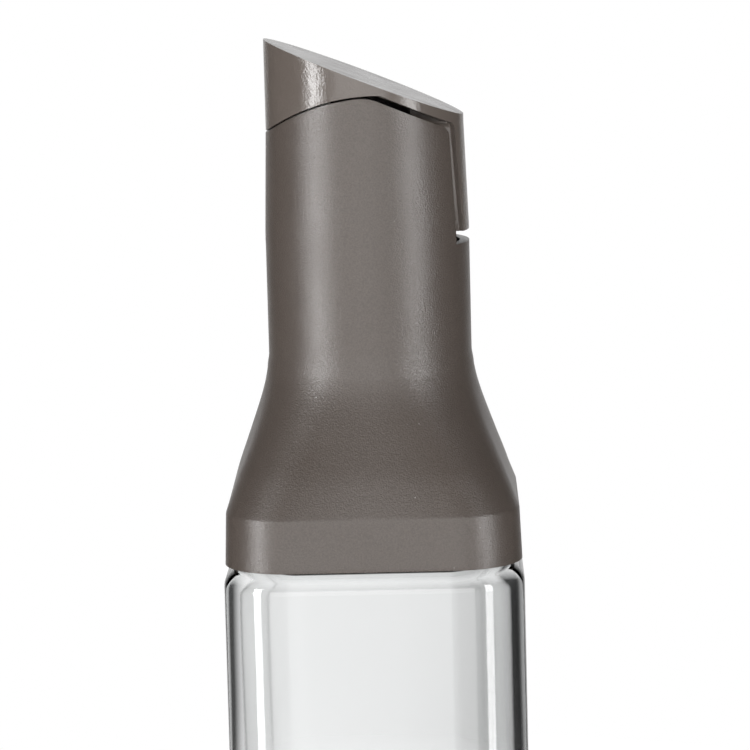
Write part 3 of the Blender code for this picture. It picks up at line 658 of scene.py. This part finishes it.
    # the window: columns behind its edges stop at the sill
    inWindow = columnNow.to("ABSOLUTE").to("LESS_THAN", windowColumns)
    gone = (inWindow * rowNow.to("GREATER_THAN", v["sillRow"])).to("GREATER_THAN", 0.0)
    links = {"Geometry": numbered, "Selection": gone}
    opened = named(tree, "GeometryNodeDeleteGeometry", links, domain="FACE")
    moved = named(tree, "GeometryNodeSetPosition", {"Geometry": opened, "Position": place})
    return named(tree, "GeometryNodeMergeByDistance", {"Geometry": moved, "Distance": 1e-6})


def makeHood():
    s, e = hoodSizes, seamSizes
    rows = hoodRows()
    line = plainObject("hood_shell", [(half, 0.0, z) for half, z, _, _ in rows], [])
    for column, name in enumerate(rowNames):
        kept = line.data.attributes.new(name, "FLOAT", "POINT")
        kept.data.foreach_set("value", [row[column] for row in rows])
    rearTop = seamRearZ + (e["rearX"] - s["rearX"]) * tan(e["slope"]) - s["rearDrop"]
    # the soft kink touches the arc and the line from below
    arcZ = seamArcZ - s["arcDrop"]
    toLine = Vector((e["rearX"] - e["arcX"], seamRearZ - s["rearDrop"] - arcZ))
    across = Vector((sin(e["slope"]), cos(e["slope"]))).dot(toLine) - s["kink"]
    meet = pi / 2 - e["slope"] + acos(across / (e["arcRadius"] - s["kink"]))
    kinkX = e["arcX"] + (e["arcRadius"] - s["kink"]) * cos(meet)
    kept = ("corner", "flatShare", "windowLow", "windowHigh", "towerBase", "towerCrease", "towerTop", "kink",
            "rearDrop", "rearCorner")
    sizes = {
        **{name: s[name] for name in kept}, "sill": sillZ, "rearHeight": seamRearZ, "crease": creaseZ,
        "taper": taperZ, "warpFrom": towerZ, "arcX": e["arcX"], "arcZ": arcZ, "arcRadius": e["arcRadius"],
        "kinkX": kinkX, "kinkZ": arcZ + (e["arcRadius"] - s["kink"]) * sin(meet),
        "kinkFrom": kinkX + s["kink"] * cos(meet), "kinkTo": kinkX + s["kink"] * sin(e["slope"]),
        "rearX": e["rearX"], "slope": e["slope"], "cornerX": s["rearX"] - s["rearCorner"],
        "cornerZ": rearTop - s["rearCorner"] * tan((pi / 2 - e["slope"]) / 2),
    }
    counts = {"columns": s["columns"], "windowColumns": s["windowColumns"], "rows": len(rows),
              "sillRow": len(rows) - s["topRows"] - 1}
    weld(grow(line, "hoodForm", hoodRule, sizes, counts, looks["hood_plastic"]))
    for spare in ("row", "column", *rowNames):
        if spare in line.data.attributes:
            line.data.attributes.remove(line.data.attributes[spare])
    return smooth(thicken(line, s["wall"], s["edge"]), 40)


hoodShell = makeHood()
print("hood skin:", len(hoodShell.data.polygons), "faces")
dress(hoodShell, "hood_plastic", "cap", "hood")


# lid: one skin of rim and slanted face, with the skirt that hangs behind
lidSizes = {"wall": 0.0018, "edge": 0.00022, "rise": 0.00295, "slope": radians(21.77), "notch": 0.0024,
            "skirtLow": 0.0071, "skirtHigh": 0.0086, "skirtRoot": 0.0012,
            "columns": 224, "skirtColumns": 15, "rootColumns": 5, "skirtRows": 40, "wallRows": 12,
            "topRows": 18}
skirtZ = sillZ + lidSizes["notch"]
lidTopZ = apexZ + lidSizes["rise"]


def seamHeight(x):
    e = seamSizes
    arc = seamArcZ + sqrt(max(0.0, e["arcRadius"] ** 2 - (x - e["arcX"]) ** 2))
    return min(arc, seamRearZ + (e["rearX"] - x) * tan(e["slope"]))


def makeLid():
    s = lidSizes
    count, edge = s["columns"], s["skirtColumns"]
    last = edge + s["rootColumns"]
    rim = towerRadius(lidTopZ)
    half, root = s["skirtHigh"], s["skirtRoot"]
    rootZ = seamRearZ - root
    skirtRows, wallRows, topRows = s["skirtRows"], s["wallRows"], s["topRows"]
    shape = bmesh.new()
    grid = {}

    def rimPlace(i):
        # x, y and lowest z of a column: the skirt's columns, its fillets', then the rest of the rim
        n, side = abs(i), 1 if i > 0 else -1
        if n <= edge:
            y = half * n / edge
            return sqrt(rim * rim - y * y), side * y, rootZ
        if n <= last:
            a = pi / 2 * (n - edge) / (last - edge)
            y = half + root * (1 - cos(a))
            x = sqrt(rim * rim - y * y)
            return x, side * y, rootZ + (seamHeight(x) - rootZ) * sin(a)
        start = asin((half + root) / rim)
        angle = side * (start + (n - last) * (pi - start) / (count // 2 - last))
        return rim * cos(angle), rim * sin(angle), seamHeight(rim * cos(angle))

    columns = list(range(-count // 2, count // 2))
    for i in columns:
        x, y, lowZ = rimPlace(i)
        rimHeight = lidTopZ - x * tan(s["slope"])
        for row in range(wallRows + 1):
            z = lowZ + (rimHeight - lowZ) * row / wallRows
            across = sqrt(towerRadius(z) ** 2 - y * y) if abs(i) <= last else x
            grid["wall", i, row] = shape.verts.new((across, y, z))
        for row in range(1, topRows):
            share = 1 - row / topRows
            place = (x * share, y * share, lidTopZ - x * share * tan(s["slope"]))
            grid["top", i, row] = shape.verts.new(place)
        if abs(i) <= edge:
            for row in range(skirtRows):
                z = skirtZ + (rootZ - skirtZ) * row / skirtRows
                y = (s["skirtLow"] + (half - s["skirtLow"]) * row / skirtRows) * i / edge
                grid["skirt", i, row] = shape.verts.new((sqrt(towerRadius(z) ** 2 - y * y), y, z))
    middle = shape.verts.new((0.0, 0.0, lidTopZ))

    def at(kind, i, row):
        i = (i + count // 2) % count - count // 2
        if kind == "skirt" and row == skirtRows:
            return grid["wall", i, 0]
        if kind == "top" and row == 0:
            return grid["wall", i, wallRows]
        return grid[kind, i, row]

    for i in columns:
        runs = [("wall", wallRows), ("top", topRows - 1)] + [("skirt", skirtRows)] * (-edge <= i < edge)
        for kind, rows in runs:
            for row in range(rows):
                low, high = at(kind, i, row), at(kind, i, row + 1)
                shape.faces.new((low, at(kind, i + 1, row), at(kind, i + 1, row + 1), high))
        shape.faces.new((at("top", i, topRows - 1), at("top", i + 1, topRows - 1), middle))
    made = plainObject("lid_shell", [], [])
    shape.to_mesh(made.data)
    shape.free()
    return smooth(thicken(made, s["wall"], s["edge"], 4), 40)


dress(makeLid(), "lid_plastic", "flap", "lid")

# hinge and the lid's inside: two ears with the weight's pocket between them, and the post of the seal
hingeSizes = {"x": 0.0125, "drop": 0.01035, "pin": 0.00125, "pinHalf": 0.0130, "pinEdge": 0.0002,
              "boss": 0.0030, "bossEdge": 0.0003}
coreSizes = {"front": 0.0096, "depth": 0.0072, "half": 0.0058, "height": 0.0135, "floor": 0.0015,
             "rib": 0.0012, "post": 0.0043, "far": 0.03, "edge": 0.00012, "weightEdge": 0.0005,
             "coverEdge": 0.00025}
spoutSizes = {"radius": 0.0050, "bore": 0.0038, "x": -0.0040, "tail": 0.0048, "mouthX": -0.0120,
              "mouthDrop": 0.00485, "tilt": radians(20), "bend": 0.0500, "flange": 0.0062,
              "flangeHeight": 0.0012, "edge": 0.0002, "lip": 1.12, "lipShare": 0.96, "lipDepth": 0.0020,
              "lipRows": 8, "rows": 40, "columns": 64}
sealSizes = {"radius": 0.0056, "thickness": 0.0018, "nub": 0.0028, "nubHeight": 0.0010,
             "nubTaper": 0.0006, "round": 0.00025}
gap = 0.0003  # between pieces that touch
overrun = 0.004  # how far a cutter reaches past what it cuts
hingeZ = apexZ - hingeSizes["drop"]
pocketZ = skirtZ + coreSizes["floor"]
pocketTopZ = pocketZ + coreSizes["height"]
mouthZ = apexZ - spoutSizes["mouthDrop"]


def alongSpout(distance):
    s = spoutSizes
    return Vector((s["mouthX"] - distance * sin(s["tilt"]), 0.0, mouthZ + distance * cos(s["tilt"])))


def towerCore(name, inset, low, high):
    heights = [low, *[z for z in (creaseZ, taperZ) if low < z < high], high]
    return spun(name, [(0.0, low), *[(towerRadius(z) - inset, z) for z in heights], (0.0, high)], steps=128)


def crossBar(name, radius, half, **edge):
    # a bar on the hinge's axis
    s = hingeSizes
    return roundBar(name, radius, (s["x"], -half, hingeZ), (s["x"], half, hingeZ), **edge)


def pinHole():
    return crossBar("pinHole", hingeSizes["pin"] + gap, hingeSizes["pinHalf"] + gap)


def makeLidCore():
    s, lid = coreSizes, lidSizes
    far, root = s["far"], lid["skirtRoot"]
    top = lidTopZ + far * tan(lid["slope"])
    core = slab("lid_core", [(s["front"], skirtZ), (far, skirtZ), (far, top), (s["front"], top)], -far, far)
    outer = lid["skirtHigh"] + root
    side = [(lid["skirtLow"], skirtZ), *arcPoints(outer, seamRearZ - root, root, pi, pi / 2, 6), (outer, top)]
    sides = slab("sides", side + [(-y, z) for y, z in side[::-1]], 0.0, far, "X")
    front, rear, half = s["front"] - overrun, s["front"] + s["depth"], s["half"]
    pocket = boxPiece("pocket", (front, -half, pocketZ), (rear, half, pocketTopZ))
    hollow = boxPiece("hollow", (front, -half, pocketTopZ + s["rib"]), (rear, half, top + overrun))
    post = roundBar("post", s["post"], alongSpout(2 * gap + sealSizes["thickness"]), alongSpout(far))
    limit = towerCore("limit", lid["wall"] / 2, skirtZ - overrun, top)
    ceiling, low = lidTopZ - lid["wall"] / 2 / cos(lid["slope"]), skirtZ - 2 * overrun
    drop = far * tan(lid["slope"])
    below = slab("below", [(-far, low), (far, low), (far, ceiling - drop), (-far, ceiling + drop)], -far, far)
    cut(limit, "INTERSECT", below)
    cut(core, "INTERSECT", sides)
    cut(core, "DIFFERENCE", pocket, hollow)
    cut(core, "UNION", post)
    cut(core, "INTERSECT", limit)
    cut(core, "DIFFERENCE", pinHole())
    return smooth(weld(roundEdges(core, s["edge"], 2), 1e-6), 35)


def makeBosses():
    s, made = hingeSizes, []
    for side in (-1, 1):
        start = (s["x"], side * hoodSizes["windowHigh"], hingeZ)
        end = (s["x"], side * hoodSizes["towerTop"], hingeZ)
        boss = roundBar(f"boss{side}", s["boss"], start, end, s["bossEdge"])
        cut(boss, "INTERSECT", towerCore("bossLimit", hoodSizes["wall"] / 2, sillZ, apexZ))
        made.append(cut(boss, "DIFFERENCE", pinHole()))
    first, second = made
    shape = bmesh.new()
    shape.from_mesh(first.data)
    shape.from_mesh(second.data)
    shape.to_mesh(first.data)
    shape.free()
    bpy.data.objects.remove(second, do_unlink=True)
    first.name = "hood_bosses"
    return smooth(first, 35)


dress(makeLidCore(), "lid_plastic", "flap", "lid")
dress(makeBosses(), "hood_plastic", "cap", "hood")
pin = crossBar("pivot_pin", hingeSizes["pin"], hingeSizes["pinHalf"], edge=hingeSizes["pinEdge"])
dress(smooth(pin), "steel", "cap", "hinge_pin")
weight = boxPiece("steel_weight", *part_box("counterweight"), coreSizes["weightEdge"])
dress(smooth(weight, 60), "steel", "flap", "counterweight")
cover = boxPiece("pocket_cover", *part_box("weight_cover"), coreSizes["coverEdge"])
dress(smooth(cover, 60), "lid_plastic", "flap", "weight_cover")
print("lid and hinge made")

# collar that plugs the glass and carries the hood, with its seals
collarSizes = {"deck": 0.0016, "flat": 0.0120, "rise": 0.0026, "cup": 0.0236, "wall": 0.0016,
               "sleeveGap": 0.0005, "sleeve": 0.0158, "plug": 0.0112, "plugLength": 0.0138, "drip": 0.0012,
               "dripX": 0.0030, "dripY": 0.0060, "gasket": 0.0012, "inset": 0.0002, "round": 0.0003}
ribSizes = {"sleeve": 0.00055, "margin": 0.0006, "count": 3, "thickness": 0.00042, "flatness": 1.5,
            "round": 0.0001, "columns": 96, "sectionPoints": 16}
tubeSizes = {"radius": 0.0022, "bore": 0.0013, "x": 0.0070, "tail": 0.0108, "rise": 0.0296, "round": 0.00025}
neckBore = bottleSizes["neck"] - bottleSizes["neckWall"]
gasketZ = rimZ + gap
deckZ = gasketZ + collarSizes["gasket"] + gap
deckTopZ = deckZ + collarSizes["deck"]
plugZ = deckZ - collarSizes["plugLength"]


def makeCollar():
    s = collarSizes
    cupTop = deckTopZ + s["cup"]
    wall, plug = s["wall"], s["plug"]
    cup = towerRadius(cupTop) - hoodSizes["wall"] - gap
    sleeve, sleeveZ = bottleSizes["neck"] + s["sleeveGap"], deckZ - s["sleeve"]
    profile = [(0.0, deckTopZ), (s["flat"], deckTopZ), (cup - wall, deckTopZ + s["rise"]),
               (cup - wall, cupTop), (cup, cupTop), (cup, deckTopZ), (sleeve + wall, deckZ),
               (sleeve + wall, sleeveZ), (sleeve, sleeveZ), (sleeve, deckZ), (plug, deckZ),
               (plug, plugZ), (plug - wall, plugZ), (plug - wall, deckZ), (0.0, deckZ)]
    collar = spun("collar_moulding", softened(profile, s["round"]), steps=128)
    holes = [(tube["radius"] + gap, tube["x"], 0.0) for tube in (spoutSizes, tubeSizes)]
    holes += [(s["drip"], s["dripX"], side * s["dripY"]) for side in (-1, 1)]
    for radius, x, y in holes:
        hole = roundBar("hole", radius, (x, y, deckZ - overrun), (x, y, deckTopZ + overrun))
        cut(collar, "DIFFERENCE", hole)
    return smooth(collar, 35)


def ribRule(tree, given):
    # evenly spaced rings round the plug, joined to the sleeve that comes in

    def circle(steps, radius):
        return named(tree, "GeometryNodeCurvePrimitiveCircle", {"Resolution": steps, "Radius": given[radius]})

    def vector(x, y, z):
        return wire(tree, "ShaderNodeCombineXYZ", x, y, z)

    ring = wire(tree, "GeometryNodeCurveToMesh", circle(ribSizes["columns"], "radius"),
                circle(ribSizes["sectionPoints"], "thickness"))
    line = named(tree, "GeometryNodeMeshLine", {
        "Count": given["count"], "Start Location": vector(0.0, 0.0, given["low"]),
        "Offset": vector(0.0, 0.0, given["pitch"])})
    placed = named(tree, "GeometryNodeInstanceOnPoints", {
        "Points": line, "Instance": ring, "Scale": vector(1.0, 1.0, given["flatness"])})
    joined = newNode(tree, "GeometryNodeJoinGeometry", given["Geometry"])
    tree.links.new(placed, joined.inputs[0])
    return joined.outputs[0]


def makePlugSeal():
    s = ribSizes
    inner = collarSizes["plug"] + gap
    body = inner + s["sleeve"]
    top, low = rimZ - bottleSizes["rim"], plugZ + s["margin"]
    seal = ringPiece("ribbed_seal", [(body, top), (body, low), (inner, low), (inner, top)], s["round"])
    pitch = (top - low) / s["count"]
    sizes = {"radius": neckBore - gap - s["thickness"], "thickness": s["thickness"],
             "flatness": s["flatness"], "low": low + pitch / 2, "pitch": pitch}
    grow(seal, "sealRibs", ribRule, sizes, {"count": s["count"]}, looks["silicone"])
    return smooth(seal, 50)


def makeGasket():
    outer, inner = bottleSizes["neck"] - collarSizes["inset"], neckBore + collarSizes["inset"]
    top = gasketZ + collarSizes["gasket"]
    profile = [(outer, top), (outer, gasketZ), (inner, gasketZ), (inner, top)]
    return smooth(ringPiece("rim_gasket", profile), 50)


def makeSpout():
    # up from the deck, round one gentle bend and straight to the tilted, flared mouth, then down inside
    s = spoutSizes
    tilt, edge, lipDepth = s["tilt"], s["edge"], s["lipDepth"]
    rise, shift = s["bend"] * sin(tilt), s["bend"] * (1 - cos(tilt))
    straight = (s["x"] - s["mouthX"] - shift) / sin(tilt)
    bendZ = mouthZ - straight * cos(tilt) - rise
    foot, flangeZ = deckZ - s["tail"], deckTopZ + gap
    length = bendZ + s["bend"] * tilt + straight

    def around(radius, z):
        # the tube's ring where its own height is z
        a = min(tilt, max(0.0, (z - bendZ) / s["bend"]))
        centre = Vector((s["x"] - s["bend"] * (1 - cos(a)), 0.0, min(z, bendZ) + s["bend"] * sin(a)))
        past = max(0.0, z - bendZ - s["bend"] * tilt)
        centre += Vector((-sin(tilt), 0.0, cos(tilt))) * past
        lean = Matrix.Rotation(-a, 3, "Y")
        turns = [2 * pi * i / s["columns"] for i in range(s["columns"])]
        return [centre + lean @ Vector((radius * cos(b), radius * sin(b), 0.0)) for b in turns]

    top, wide, flange = flangeZ + s["flangeHeight"], s["radius"], s["flange"]
    outer = [(s["bore"] + 2 * edge, foot), (wide - edge, foot + edge / 2), (wide, foot + 2 * edge),
             (wide, flangeZ), (flange - edge, flangeZ), (flange, flangeZ + edge), (flange, top - edge),
             (flange - edge, top), (wide + edge, top), (wide, top + edge)]
    low, lipStart = top + 2 * edge, length - wide
    outer += [(wide, low + (lipStart - low) * i / s["rows"]) for i in range(s["rows"] + 1)]
    for i in range(s["lipRows"]):  # the lip opens like a trumpet to let drops fall back
        t = (i + 1) / s["lipRows"]
        outer.append((wide * (1 + (s["lip"] - 1) * t * t), lipStart + wide * t * s["lipShare"]))
    rim = wide * s["lip"]
    bore = [(rim - edge / 2, length - edge / 4), (rim - 1.5 * edge, length),
            (rim - 4 * edge, length - edge / 2), (s["bore"] + 3 * edge, length - 4 * edge),
            (s["bore"], length - lipDepth)]
    drop = foot + 2 * edge - length + lipDepth
    bore += [(s["bore"], length - lipDepth + drop * (i + 1) / s["rows"]) for i in range(s["rows"])]
    return smooth(weld(skin("spout_tube", [around(r, z) for r, z in outer + bore], closed=True)), 40)


def makeLidSeal():
    s = sealSizes
    top, nubZ = gap + s["thickness"], gap - s["nubHeight"]
    profile = [(0.0, top), (s["radius"], top), (s["radius"], gap), (s["nub"], gap),
               (s["nub"] - s["nubTaper"], nubZ), (0.0, nubZ)]
    seal = spun("spout_seal", softened(profile, s["round"]), steps=64)
    seal.data.transform(Matrix.Translation(alongSpout(0.0)) @ Matrix.Rotation(-spoutSizes["tilt"], 4, "Y"))
    return smooth(seal, 50)


def makeTube():
    s = tubeSizes
    low, high = deckZ - s["tail"], deckTopZ + s["rise"]
    profile = [(s["radius"], high), (s["radius"], low), (s["bore"], low), (s["bore"], high)]
    tube = ringPiece("vent_tube", profile, s["round"], steps=48)
    tube.data.transform(Matrix.Translation((s["x"], 0.0, 0.0)))
    return smooth(tube, 50)


dress(makeCollar(), "inner_plastic", "cap", "inner_collar")
dress(makePlugSeal(), "silicone", "cap", "plug_seal")
dress(makeGasket(), "silicone", "cap", "neck_gasket")
dress(makeSpout(), "inner_plastic", "cap", "pour_spout")
dress(makeTube(), "steel", "cap", "air_tube")
dress(makeLidSeal(), "silicone", "flap", "lid_seal")
print("collar, seals and spout made")

# camera, floor and light
cameraSizes = {"place": (0.01698, -0.72561, 0.22941), "aim": (0.0, 0.0, 0.120), "roll": 1.4935,
               "lens": 167.57, "shift": (0.00444, 0.03203)}
lens = bpy.data.cameras.new("camera")
lens.lens = cameraSizes["lens"]
lens.shift_x, lens.shift_y = cameraSizes["shift"]
camera = linked(bpy.data.objects.new("camera", lens))
toAim = Vector(cameraSizes["aim"]) - Vector(cameraSizes["place"])
turn = toAim.to_track_quat("-Z", "Y").to_matrix() @ Matrix.Rotation(-radians(cameraSizes["roll"]), 3, "Z")
camera.matrix_world = Matrix.Translation(cameraSizes["place"]) @ turn.to_4x4()
scene.camera = camera

white = (1.0, 1.0, 1.0)
studio = {
    "lamps": {
        "leftStrip": {"angle": -58, "height": 0.20, "size": (0.27, 0.80), "power": 13.0, "distance": 1.1},
        "rightStrip": {"angle": 55, "height": 0.20, "size": (0.27, 0.80), "power": 9.2, "distance": 1.1},
        "front": {"angle": -3, "height": 0.24, "size": (1.9, 0.8), "power": 15.0, "distance": 1.5},
        "back": {"angle": 180, "height": 0.50, "size": (1.3, 0.6), "power": 15.0, "distance": 1.4},
    },
    "aim": (0.0, 0.0, 0.12), "around": 0.0, "fill": 0.01, "backFill": 0.20,
    # how far back a direction points where shine finds white, and where the fill grows
    "behind": (0.81, 0.94), "fillSpan": (-0.2, 0.5),
    # what glass shows: brightness by the angle to the right of straight back, with a dark card at each side
    "cards": [(-180, 1.0), (-80, 1.0), (-68, 0.70), (-60, 0.35), (-54, 0.08), (-42, 0.08), (-34, 0.55),
              (-20, 0.90), (-10, 0.92), (0, 0.85), (15, 0.58), (25, 0.44), (38, 0.35), (48, 0.10), (56, 0.03),
              (84, 0.03), (96, 1.0), (180, 1.0)],
}
floorSizes = {"half": 9.0, "drop": 0.00005, "grey": 0.86, "mirror": 0.75, "mirrorBlur": 0.12, "glow": 0.60,
              "farFrom": 0.06, "farTo": 0.19}


def softbox(name, angle, height, size, power, distance):
    light = bpy.data.lights.new(name, "AREA")
    light.shape = "RECTANGLE"
    light.size, light.size_y = size
    light.energy = power
    made = linked(bpy.data.objects.new(name, light))
    place = Vector((distance * sin(radians(angle)), -distance * cos(radians(angle)), height))
    toward = Vector(studio["aim"]) - place
    made.matrix_world = Matrix.Translation(place) @ toward.to_track_quat("-Z", "Y").to_matrix().to_4x4()
    return made


def aroundGrey(tree, place):
    # the cards' brightness in the direction of a point
    axes = newNode(tree, "ShaderNodeSeparateXYZ", place).outputs
    angle = sums(tree, "ARCTAN2", axes[0], axes[1])
    ramp = newNode(tree, "ShaderNodeValToRGB", ranged(tree, angle, -pi, pi))
    stops = ramp.color_ramp.elements
    for i, (degrees, grey) in enumerate(studio["cards"]):
        stop = stops[i] if i < 2 else stops.new((degrees + 180) / 360)
        stop.position = (degrees + 180) / 360
        stop.color = (grey, grey, grey, 1.0)
    return ramp.outputs[0]


def dressFloor(tree):
    # near the object a pale floor that takes its shadow, and farther off plain brightness
    s = floorSizes
    place = newNode(tree, "ShaderNodeTexCoord").outputs["Object"]
    path = newNode(tree, "ShaderNodeLightPath").outputs
    through = Sum(tree, path["Is Transmission Ray"])
    seen = through.to("MAXIMUM", path["Is Camera Ray"])
    plain = wire(tree, "ShaderNodeBsdfDiffuse", (s["grey"],) * 3 + (1.0,))
    paler = wire(tree, "ShaderNodeEmission", (*white, 1.0), seen * s["glow"])
    near = wire(tree, "ShaderNodeAddShader", plain, paler)
    # what plastic reflects: a mirror of the studio, but not for light that came through the glass
    mirror = wire(tree, "ShaderNodeBsdfGlossy", (s["mirror"],) * 3 + (1.0,), s["mirrorBlur"])
    thrown = (1.0 - through) * path["Is Glossy Ray"]
    glossed = wire(tree, "ShaderNodeMixShader", thrown, near, mirror)
    glow = wire(tree, "ShaderNodeEmission", tint(tree, through, white, aroundGrey(tree, place)), 1.0)
    away = newNode(tree, "ShaderNodeVectorMath", place, operation="LENGTH").outputs["Value"]
    far = seen * ranged(tree, away, s["farFrom"], s["farTo"])
    newNode(tree, "ShaderNodeOutputMaterial", wire(tree, "ShaderNodeMixShader", far, glossed, glow))


def dressWorld(tree):
    # white to the camera, cards to what passes through glass, a bright back to what shines, dim to the rest
    path = newNode(tree, "ShaderNodeLightPath").outputs
    place = newNode(tree, "ShaderNodeTexCoord").outputs["Generated"]
    back = newNode(tree, "ShaderNodeSeparateXYZ", place).outputs[1]
    around = tint(tree, ranged(tree, back, *studio["behind"]), (studio["around"],) * 3, white)
    dim, pale = (studio["fill"],) * 3, (studio["backFill"],) * 3
    diffuse = tint(tree, ranged(tree, back, *studio["fillSpan"]), dim, pale)
    shade = tint(tree, path["Is Glossy Ray"], diffuse, around)
    shade = tint(tree, path["Is Transmission Ray"], shade, aroundGrey(tree, place))
    shade = tint(tree, path["Is Camera Ray"], shade, white)
    newNode(tree, "ShaderNodeOutputWorld", wire(tree, "ShaderNodeBackground", shade, 1.0))


for name, s in studio["lamps"].items():
    lamp = softbox(name, **s)
    lamp.visible_transmission = False
    lamp.visible_glossy = name != "back"

half, floorZ = floorSizes["half"], -floorSizes["drop"]
corners = [(-half, -half, floorZ), (half, -half, floorZ), (half, half, floorZ), (-half, half, floorZ)]
floor = plainObject("floor", corners, [(0, 1, 2, 3)])
floor.data.materials.append(bpy.data.materials.new("floorWhite"))
world = bpy.data.worlds.new("studio")
scene.world = world
for holder, furnish in ((floor.data.materials[0], dressFloor), (world, dressWorld)):
    holder.use_nodes = True
    holder.node_tree.nodes.clear()
    furnish(holder.node_tree)

scene.view_settings.view_transform = "Standard"
print("studio made")
